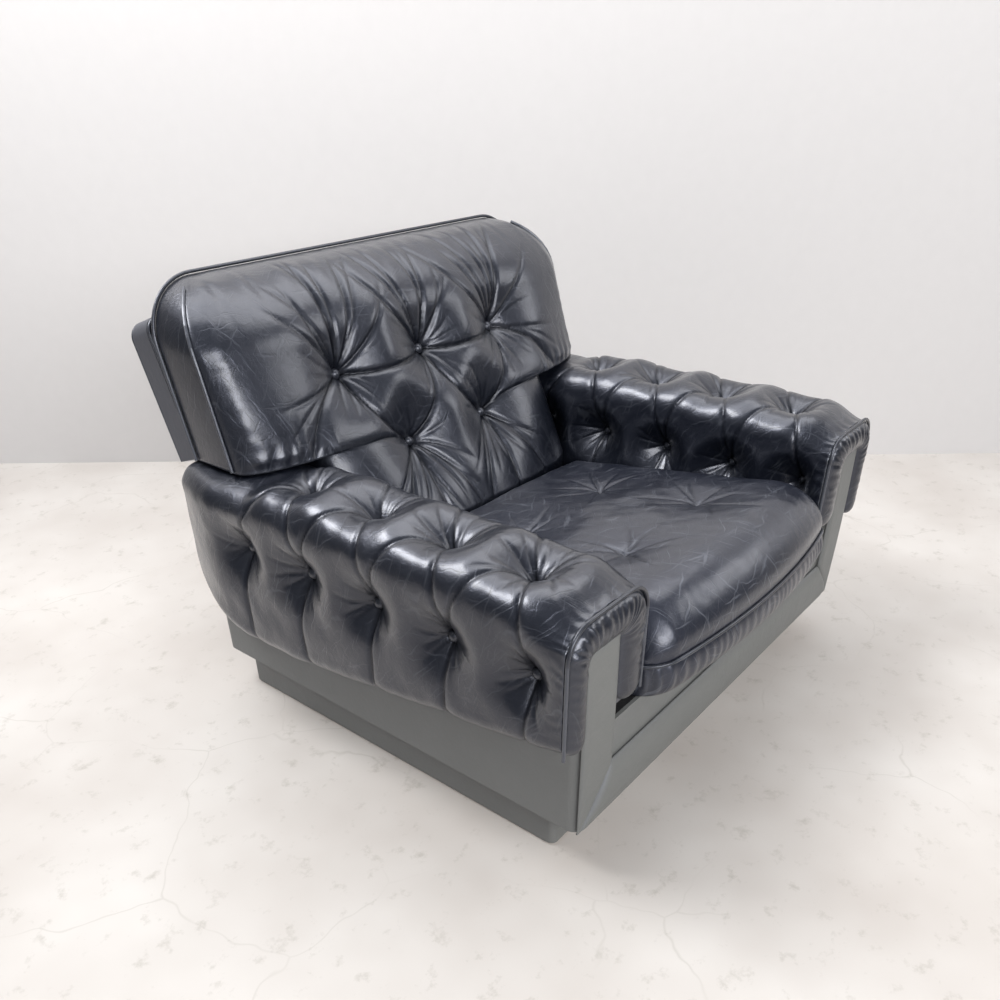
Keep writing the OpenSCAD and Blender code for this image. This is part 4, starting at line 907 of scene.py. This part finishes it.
def leather(name, colour, worn, rough, grain=1.0, crackle=0.0, scratch=0.0, coat=0.6):
    """Corrected-grain cowhide, pigmented and sealed, then worn: fine grain, soft pucker, paler rubbed marks,
    and painted shade with less shine at the bottoms of the pleats.
    """
    _, t, where = new_material(name)
    # The grain is about 0.5 mm and is drawn at 1.6 mm to show; the pucker is 14 mm, the unevenness 65 mm
    fine = node(t, "TexNoise", Vector=where, Scale=per(1.6), Detail=1.5, Roughness=0.6)
    slow = node(t, "TexNoise", Vector=where, Scale=per(65.0), Detail=2.0)
    pucker = node(t, "TexNoise", Vector=where, Scale=per(14.0), Detail=3.0, Roughness=0.55, Distortion=0.6)
    fine = node(t, "Math", fine, 0.8 * grain, operation="MULTIPLY")
    pucker = node(t, "Math", pucker, 3.4, operation="MULTIPLY")
    height = node(t, "Math", fine, pucker, operation="ADD")
    # Outward edges are rubbed paler
    edge = node(t, "MapRange", node(t, "NewGeometry").outputs["Pointiness"], 0.505, 0.56)
    lighter = node(t, "Math", edge, worn, operation="MULTIPLY")
    if crackle:
        # Fine creases about 1.5 mm wide and 70 mm long, lying three ways, and short ones in 14 mm cells
        warp = node(t, "TexNoise", Vector=where, Scale=per(45.0), Detail=2.0).outputs["Color"]
        moved = node(t, "MixRGB", 0.009, where, warp, blend_type="LINEAR_LIGHT")
        patch = node(t, "MapRange", slow, 0.42, 0.60)
        network = 0.0
        for turn in ((0.3, 0.2, 0.6), (-0.5, 0.9, 1.4), (0.8, -0.5, -0.7)):
            size = marks_of(75.0, 4.5, 75.0)
            laid = node(t, "Mapping", vector_type="TEXTURE", Vector=moved, Rotation=turn, Scale=size)
            streak = node(t, "TexNoise", Vector=laid, Scale=1.0, Detail=1.0, Roughness=0.5)
            streak = node(t, "MapRange", streak, 0.64, 0.76, 0.0, 0.9)
            network = node(t, "Math", network, streak, operation="MAXIMUM")
        short = node(t, "TexVoronoi", feature="DISTANCE_TO_EDGE", Vector=moved, Scale=per(14.0))
        hair = node(t, "Math", 1.0, node(t, "MapRange", short, 0.0, 0.05), operation="SUBTRACT")
        hair = node(t, "Math", hair, 0.22, operation="MULTIPLY")
        hair = node(t, "Math", hair, patch, operation="MULTIPLY")
        network = node(t, "Math", network, hair, operation="ADD")
        sunk = node(t, "Math", network, 1.5, operation="MULTIPLY")
        height = node(t, "Math", height, sunk, operation="SUBTRACT")
        rubbed = node(t, "Math", network, crackle, operation="MULTIPLY")
        lighter = node(t, "Math", lighter, rubbed, operation="ADD")
    if scratch:
        # Scuffs: thin marks up to 50 mm long, paler than the finish
        size = marks_of(28.0, 50.0, 4.2)
        scuffed = node(t, "Mapping", vector_type="TEXTURE", Vector=where, Scale=size)
        marks = node(t, "TexNoise", Vector=scuffed, Scale=1.0, Detail=5.0, Roughness=0.75)
        marks = node(t, "MapRange", marks, 0.66, 0.74, 0.0, scratch)
        lighter = node(t, "Math", lighter, marks, operation="ADD")
    # Painted shade: the bottoms of the pleats are painted near black, lose their rubbed marks, and have their
    # shine and coat taken off
    deep = node(t, "Attribute", attribute_name="crease_shade").outputs["Fac"]
    outside_painted_shade = node(t, "Math", 1.0, deep, operation="SUBTRACT")
    lighter = node(t, "Math", node(t, "Math", lighter, 1.0, operation="MINIMUM"), outside_painted_shade, operation="MULTIPLY")
    tint = node(t, "MixRGB", lighter, colour, linear("#8d929c"))
    # Near black #050608 is mixed in as the painted shade of the pleats
    shade = node(t, "Math", deep, 0.9, operation="MULTIPLY")
    tint = node(t, "MixRGB", shade, tint, linear("#050608"))
    gloss = node(t, "MapRange", slow, 0.3, 0.7, rough - 0.03, rough + 0.04)
    gloss = node(t, "Math", gloss, node(t, "Math", lighter, 0.15, operation="MULTIPLY"), operation="ADD")
    shader = node(
        t,
        "BsdfPrincipled",
        Base_Color=tint,
        Roughness=gloss,
        IOR=1.5,
        Normal=node(t, "Bump", Strength=0.32, Distance=0.7 * MM, Height=height),
        Specular_IOR_Level=node(t, "Math", outside_painted_shade, 0.6, operation="MULTIPLY"),
        Specular_Tint=linear("#dee4fc"),
        Coat_Weight=node(t, "Math", outside_painted_shade, coat, operation="MULTIPLY"),
        Coat_Roughness=max(0.12, rough - 0.11),
    )
    node(t, "OutputMaterial", Surface=shader)


def plain(name, colour, rough, grain, metal=0.0, bump=0.2, spread=0.08):
    """An even finish with a slight unevenness of that size in mm: board, plastic, plated steel, wall paint."""
    m, t, where = new_material(name)
    cloud = node(t, "TexNoise", Vector=where, Scale=per(grain), Detail=4.0)
    base = linear(colour)
    dark = tuple(c * (1 - 3 * spread) for c in base[:3]) + (1.0,)
    tint = node(t, "MixRGB", node(t, "MapRange", cloud, 0.3, 0.7), dark, base)
    relief = node(t, "Bump", Strength=bump, Distance=0.4 * MM, Height=cloud)
    shader = node(t, "BsdfPrincipled", Base_Color=tint, Roughness=rough, Metallic=metal, Normal=relief)
    node(t, "OutputMaterial", Surface=shader)
    return m


def timber(name, light, dark):
    """Sawn timber with its grain along X, in streaks 150 mm long and 7.6 mm wide."""
    _, t, where = new_material(name)
    size = marks_of(150.0, 7.6, 7.6)
    long = node(t, "Mapping", vector_type="TEXTURE", Vector=where, Scale=size)
    rings = node(t, "TexNoise", Vector=long, Scale=1.0, Detail=7.0, Roughness=0.6, Distortion=0.7)
    tint = node(t, "MixRGB", node(t, "MapRange", rings, 0.35, 0.65), linear(dark), linear(light))
    relief = node(t, "Bump", Strength=0.25, Distance=0.5 * MM, Height=rings)
    node(t, "OutputMaterial", Surface=node(t, "BsdfPrincipled", Base_Color=tint, Roughness=0.62, Normal=relief))


def weave(name, colour, pitch):
    """Plain-woven cloth or webbing with threads of that pitch in mm."""
    _, t, where = new_material(name)
    # One band of the wave texture is pi / 10 wide at scale 1
    scale = per(pitch) * math.pi / 10
    bands = [node(t, "TexWave", Vector=where, Scale=scale, bands_direction=d).outputs["Fac"] for d in "XY"]
    both = node(t, "Math", *bands, operation="MULTIPLY")
    base = linear(colour)
    dark = tuple(c * 0.6 for c in base[:3]) + (1.0,)
    tint = node(t, "MixRGB", both, dark, base)
    relief = node(t, "Bump", Strength=0.5, Distance=0.4 * MM, Height=both)
    node(t, "OutputMaterial", Surface=node(t, "BsdfPrincipled", Base_Color=tint, Roughness=0.85, Normal=relief))


def floor_material():
    """Pale concrete, painted and trodden: a matt uneven ground with fine cracks and worn spots."""
    m, t, where = new_material("Painted concrete, pale")
    cloud = node(t, "TexNoise", Vector=where, Scale=per(400.0), Detail=3.0, Roughness=0.6)
    warp = node(t, "TexNoise", Vector=where, Scale=per(330.0), Detail=4.0).outputs["Color"]
    moved = node(t, "MixRGB", 0.10, where, warp, blend_type="LINEAR_LIGHT")
    crack = node(t, "TexVoronoi", feature="DISTANCE_TO_EDGE", Vector=moved, Scale=per(385.0))
    line = node(t, "Math", 1.0, node(t, "MapRange", crack, 0.0, 0.006), operation="SUBTRACT")
    line = node(t, "Math", line, node(t, "MapRange", cloud, 0.45, 0.6, 0.0, 0.26), operation="MULTIPLY")
    spot = node(t, "TexNoise", Vector=where, Scale=per(42.0), Detail=5.0, Roughness=0.7)
    line = node(t, "Math", line, node(t, "MapRange", spot, 0.57, 0.72, 0.0, 0.42), operation="ADD")
    tint = node(t, "MixRGB", node(t, "MapRange", cloud, 0.3, 0.7), linear("#bdb7b2"), linear("#cdc9c5"))
    tint = node(t, "MixRGB", line, tint, linear("#8f8a80"))
    shader = node(t, "BsdfPrincipled", Base_Color=tint, Roughness=0.5, Specular_IOR_Level=0.25)
    node(t, "OutputMaterial", Surface=shader)
    return m


def finishes():
    """Every material of the chair, made once."""
    if "Leather, buttoned pads" in bpy.data.materials:
        return bpy.data.materials
    s = bpy.context.scene.chair_finish
    worn, rough = s.wear, s.roughness
    # Cowhide pigmented blue-black, sealed and polished by use: dark, with bright streaks on its folds
    leather("Leather, buttoned pads", s.pads, 0.16 * worn, rough, crackle=0.12 * worn, coat=0.65)
    # The same hide on the seat, sat on for years: greyer, duller and finely creased
    leather("Leather, seat", s.seat, 0.12 * worn, rough + 0.03, crackle=0.34 * worn)
    # The same hide stretched flat over board and hardly touched: matt, even, with a few pale scuffs; on the
    # panels its pale grey is partly this smoother finish and partly a painted reflection of the pale room, and
    # the shell's darker copy is painted shade where the lamp on the left lights it
    for name, colour, more in (("flat panels", s.panels, 0.2), ("back shell", s.shell, 0.15)):
        leather(f"Leather, {name}", colour, 0.05 * worn, rough + more, 0.8, scratch=0.3 * worn, coat=0.1)
    # Thin strips folded over a cord and sewn in: a dark line with a pale rubbed edge
    leather("Leather, piping", s.piping, 0.25 * worn, rough + 0.04, 0.8)
    # Beech, sawn and left bare: pale brown and matt, with long streaks
    timber("Beech, sawn", "#c39a6b", "#9a7348")
    # Wood fibre, wet-pressed: mid brown and matt, faintly mottled
    plain("Hardboard", "#8a6a48", 0.75, 3.3)
    # Rubber between two layers of cord: dull brown, its threads 2 mm apart
    weave("Rubberised webbing", "#3a2c22", 2.0)
    # Cotton lining, plain-woven and dyed black: no shine; threads about 0.4 mm apart, drawn at 0.8 mm to show
    weave("Lining cloth, black", "#1c1c1e", 0.8)
    # Steel bolts, electroplated with zinc: a soft pale shine
    plain("Steel, zinc plated", "#a8abae", 0.35, 2.5, metal=1.0)
    # Polyethylene glides, moulded: black with a low even shine
    plain("Plastic, black", "#151515", 0.45, 2.0)
    return bpy.data.materials


# ---------------------------------------------------------------- operators

# The finish of each of the record's material slots
SLOTS = {
    "leather": "Leather, buttoned pads",
    "seat_leather": "Leather, seat",
    "frame_timber": "Beech, sawn",
    "board": "Hardboard",
    "webbing": "Rubberised webbing",
    "lining_cloth": "Lining cloth, black",
    "bolt_steel": "Steel, zinc plated",
    "glide_plastic": "Plastic, black",
}
# Leather pieces with another finish than the pads, by the ends of their names
OTHER_LEATHERS = {
    "Leather, flat panels": (
        "_arm_cover",
        "_arm_border",
        "plinth_front_cover",
        "plinth_rear_cover",
        "plinth_side_covers",
        "front_lower_cover",
        "front_upper_cover",
        "rear_lower_cover",
    ),
    "Leather, back shell": ("shell_front_cover", "shell_rear_cover", "shell_band"),
    "Leather, piping": ("piping", "seams"),
}


def dress(o, material):
    o.data.materials.clear()
    o.data.materials.append(material)


def soft(o, finish, body, stands_for=None):
    """Dresses a padded piece and says what it is."""
    dress(o, finishes()[finish])
    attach(o, body)
    if stands_for:
        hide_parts(stands_for)


class CHAIR_OT_frame(bpy.types.Operator):
    """Gives every CAD piece its real finish"""

    bl_idname = "chair.frame"
    bl_label = "Finish the frame"

    def execute(self, context):
        mats = finishes()
        slots = {p["node"]: p["material_slot"] for p in frame["record"]["subparts"]}
        for name, o in frame["nodes"].items():
            others = [finish for finish, ends in OTHER_LEATHERS.items() if name.endswith(ends)]
            dress(o, mats[others[0] if others else SLOTS[slots[name]]])
        return {"FINISHED"}


class CHAIR_OT_arms(bpy.types.Operator):
    """Builds the two buttoned arm pads"""

    bl_idname = "chair.arms"
    bl_label = "Build the arm pads"

    def execute(self, context):
        s = in_mm(context.scene.chair_arms)
        for which, seed in (("left", 21), ("right", 34)):
            pad = arm_pad(which, s, seed)
            soft(pad, "Leather, buttoned pads", "chair", f"{which}_arm_pad")
        return {"FINISHED"}


class CHAIR_OT_fronts(bpy.types.Operator):
    """Builds the gathered borders, the stiles and the padded front strip"""

    bl_idname = "chair.fronts"
    bl_label = "Build the fronts"

    def execute(self, context):
        # Edges of the pieces as heights and the x at each; a stile meets the strip at a mitre
        stile_left = ((COVER_Z, FOLD_Z, ARM_TOP), (ARM_OUT - 3.0, ARM_IN - 1.5, ARM_IN - 0.5))
        stile_right = ((COVER_Z, ARM_TOP), (ARM_OUT, ARM_OUT))
        strip_left = ((COVER_Z, FOLD_Z), (-ARM_OUT, -ARM_IN))
        strip_right = ((COVER_Z, FOLD_Z), (ARM_OUT, ARM_IN))
        for which, seed, side in (("left", 5, 1.0), ("right", 8, -1.0)):
            border = pad_border(which, seed)
            soft(border, "Leather, buttoned pads", "chair", f"{which}_arm_border")
            stile = cushioned(
                f"{which}_stile_leather",
                COVER_Z,
                ARM_TOP + 2.0,
                stile_left,
                stile_right,
                base_y=0.2,
                swell=6.0,
                edge=14.0,
                deep=0.6,
                rows=140,
                cols=40,
                side=side,
            )
            soft(stile, "Leather, flat panels", "chair")
        strip = cushioned(
            "front_lower_leather",
            COVER_Z,
            FOLD_Z,
            strip_left,
            strip_right,
            base_y=1.0,
            swell=11.0,
            edge=18.0,
            deep=1.2,
            rows=44,
            cols=240,
        )
        soft(strip, "Leather, flat panels", "chair")
        return {"FINISHED"}


class CHAIR_OT_back(bpy.types.Operator):
    """Builds the buttoned back cushion"""

    bl_idname = "chair.back"
    bl_label = "Build the back cushion"

    def execute(self, context):
        cushion = back_cushion(in_mm(context.scene.chair_back))
        soft(cushion, "Leather, buttoned pads", "chair", "back_cushion")
        return {"FINISHED"}


class CHAIR_OT_seat(bpy.types.Operator):
    """Builds the loose seat cushion"""

    bl_idname = "chair.seat"
    bl_label = "Build the seat cushion"

    def execute(self, context):
        cushion = seat_cushion(in_mm(context.scene.chair_seat))
        soft(cushion, "Leather, seat", "seat", "seat_cushion")
        return {"FINISHED"}


# The studio, in metres. The camera: its place, and its turn, tilt and roll in degrees
EYE = Vector((-1.2874, -0.9684, 1.0610))
VIEW_TURN, VIEW_TILT, VIEW_ROLL = -50.7, 34.7, -0.6
LENS, SENSOR, SHIFT = 31.78, 36.0, 0.166
# The wall stands this far behind the camera's place, and the room has this half width, depth and height
WALL_AHEAD, ROOM_HALF, ROOM_DEPTH, ROOM_HIGH = 2.70, 9.0, 7.0, 5.0
# The window light, from the foot of the wall; the lamps: place, aim, size, and power as a share of it
WINDOW_OFFSET, WINDOW_AIM, WINDOW_SIZE = Vector((-0.6, -0.4, 2.3)), (0, 0, 0.35), (3.0, 1.1)
LAMPS = {
    "key": ((-1.3, 1.5, 2.8), (-0.2, 0.0, 0.45), (1.4, 1.0), 2.0),
    "near": ((-1.5, -3.0, 1.9), (0, 0.1, 0.45), (2.6, 1.3), 3.0),
    "side": ((1.9, -1.9, 1.9), (0, 0, 0.35), (1.2, 1.2), 0.5),
}


def area_light(name, place, aim, size, energy):
    data = bpy.data.lights.new(name, "AREA")
    data.shape = "RECTANGLE"
    data.size, data.size_y = size
    data.energy = energy
    o = bpy.data.objects.new(name, data)
    o.location = place
    o.rotation_mode = "QUATERNION"
    o.rotation_quaternion = (Vector(aim) - Vector(place)).to_track_quat("-Z", "Y")
    bpy.context.scene.collection.objects.link(o)


def plane(name, corners, material):
    me = bpy.data.meshes.new(name)
    me.from_pydata([tuple(c) for c in corners], [], [tuple(range(len(corners)))])
    o = bpy.data.objects.new(name, me)
    bpy.context.scene.collection.objects.link(o)
    dress(o, material)


def camera():
    """The photograph's camera."""
    data = bpy.data.cameras.new("camera")
    data.sensor_width, data.lens, data.shift_y, data.clip_end = SENSOR, LENS, SHIFT, 60.0
    cam = bpy.data.objects.new("camera", data)
    bpy.context.scene.collection.objects.link(cam)
    turn, tilt, roll = (math.radians(a) for a in (VIEW_TURN, VIEW_TILT, VIEW_ROLL))
    back = Vector((math.sin(turn) * math.cos(tilt), -math.cos(turn) * math.cos(tilt), math.sin(tilt)))
    right = (-back).cross(Vector((0, 0, 1))).normalized()
    over = right.cross(-back)
    r = right * math.cos(roll) + over * math.sin(roll)
    u = over * math.cos(roll) - right * math.sin(roll)
    cam.matrix_world = Matrix([(*axes, place) for *axes, place in zip(r, u, back, EYE)] + [(0, 0, 0, 1)])
    bpy.context.scene.camera = cam


class CHAIR_OT_studio(bpy.types.Operator):
    """Sets up the pale room, the light and the camera"""

    bl_idname = "chair.studio"
    bl_label = "Set up the studio"

    def execute(self, context):
        scene = context.scene
        turn = math.radians(VIEW_TURN)
        ahead = Vector((-math.sin(turn), math.cos(turn), 0.0))
        beside = Vector((ahead.y, -ahead.x, 0.0))
        foot = EYE + ahead * WALL_AHEAD
        foot.z = 0.0
        a, b = foot - beside * ROOM_HALF, foot + beside * ROOM_HALF
        nearer, higher = ahead * ROOM_DEPTH, Vector((0, 0, ROOM_HIGH))
        plane("floor", (a, a - nearer, b - nearer, b), floor_material())
        # Emulsion paint, rolled on: white and quite matt
        wall_paint = plain("Wall paint, white", "#cfcdcd", 0.8, 33.0, bump=0.05, spread=0.005)
        plane("wall", (a, b, b + higher, a + higher), wall_paint)
        power_of_window = scene.chair_finish.key
        area_light("window", foot + WINDOW_OFFSET, WINDOW_AIM, WINDOW_SIZE, power_of_window)
        for name, (place, aim, size, share) in LAMPS.items():
            area_light(name, place, aim, size, power_of_window * share)
        scene.view_settings.view_transform = "Standard"
        scene.world = bpy.data.worlds.new("Pale room")
        scene.world.use_nodes = True
        t = scene.world.node_tree
        t.nodes.clear()
        up = node(t, "SeparateXYZ", Vector=node(t, "TexCoord").outputs["Generated"]).outputs["Z"]
        tint = node(t, "MixRGB", node(t, "MapRange", up, -0.2, 0.9), linear("#b9b9bb"), linear("#f2f5fa"))
        node(t, "OutputWorld", Surface=node(t, "Background", Color=tint, Strength=0.28))
        camera()
        return {"FINISHED"}


STEPS = (
    ("chair_finish", "chair.frame"),
    ("chair_arms", "chair.arms"),
    (None, "chair.fronts"),
    ("chair_back", "chair.back"),
    ("chair_seat", "chair.seat"),
    (None, "chair.studio"),
)


class CHAIR_PT_panel(bpy.types.Panel):
    """The armchair's settings and steps"""

    bl_label = "Armchair"
    bl_idname = "CHAIR_PT_panel"
    bl_space_type = "VIEW_3D"
    bl_region_type = "UI"
    bl_category = "Armchair"

    def draw(self, context):
        for group, step in STEPS:
            box = self.layout.box()
            if group:
                for key in GROUPS[group].__annotations__:
                    box.prop(getattr(context.scene, group), key)
            box.operator(step)


GROUPS = {
    "chair_arms": ArmSettings,
    "chair_back": BackSettings,
    "chair_seat": SeatSettings,
    "chair_finish": FinishSettings,
}
CLASSES = (
    *GROUPS.values(),
    CHAIR_OT_frame,
    CHAIR_OT_arms,
    CHAIR_OT_fronts,
    CHAIR_OT_back,
    CHAIR_OT_seat,
    CHAIR_OT_studio,
    CHAIR_PT_panel,
)


def register():
    for c in CLASSES:
        bpy.utils.register_class(c)
    for name, group in GROUPS.items():
        setattr(bpy.types.Scene, name, bpy.props.PointerProperty(type=group))


def unregister():
    for name in GROUPS:
        delattr(bpy.types.Scene, name)
    for c in reversed(CLASSES):
        bpy.utils.unregister_class(c)


def main():
    register()
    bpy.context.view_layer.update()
    bpy.ops.chair.frame()
    bpy.ops.chair.arms()
    bpy.ops.chair.fronts()
    bpy.ops.chair.back()
    bpy.ops.chair.seat()
    bpy.ops.chair.studio()
    bpy.context.view_layer.update()


if __name__ == "__main__":
    main()
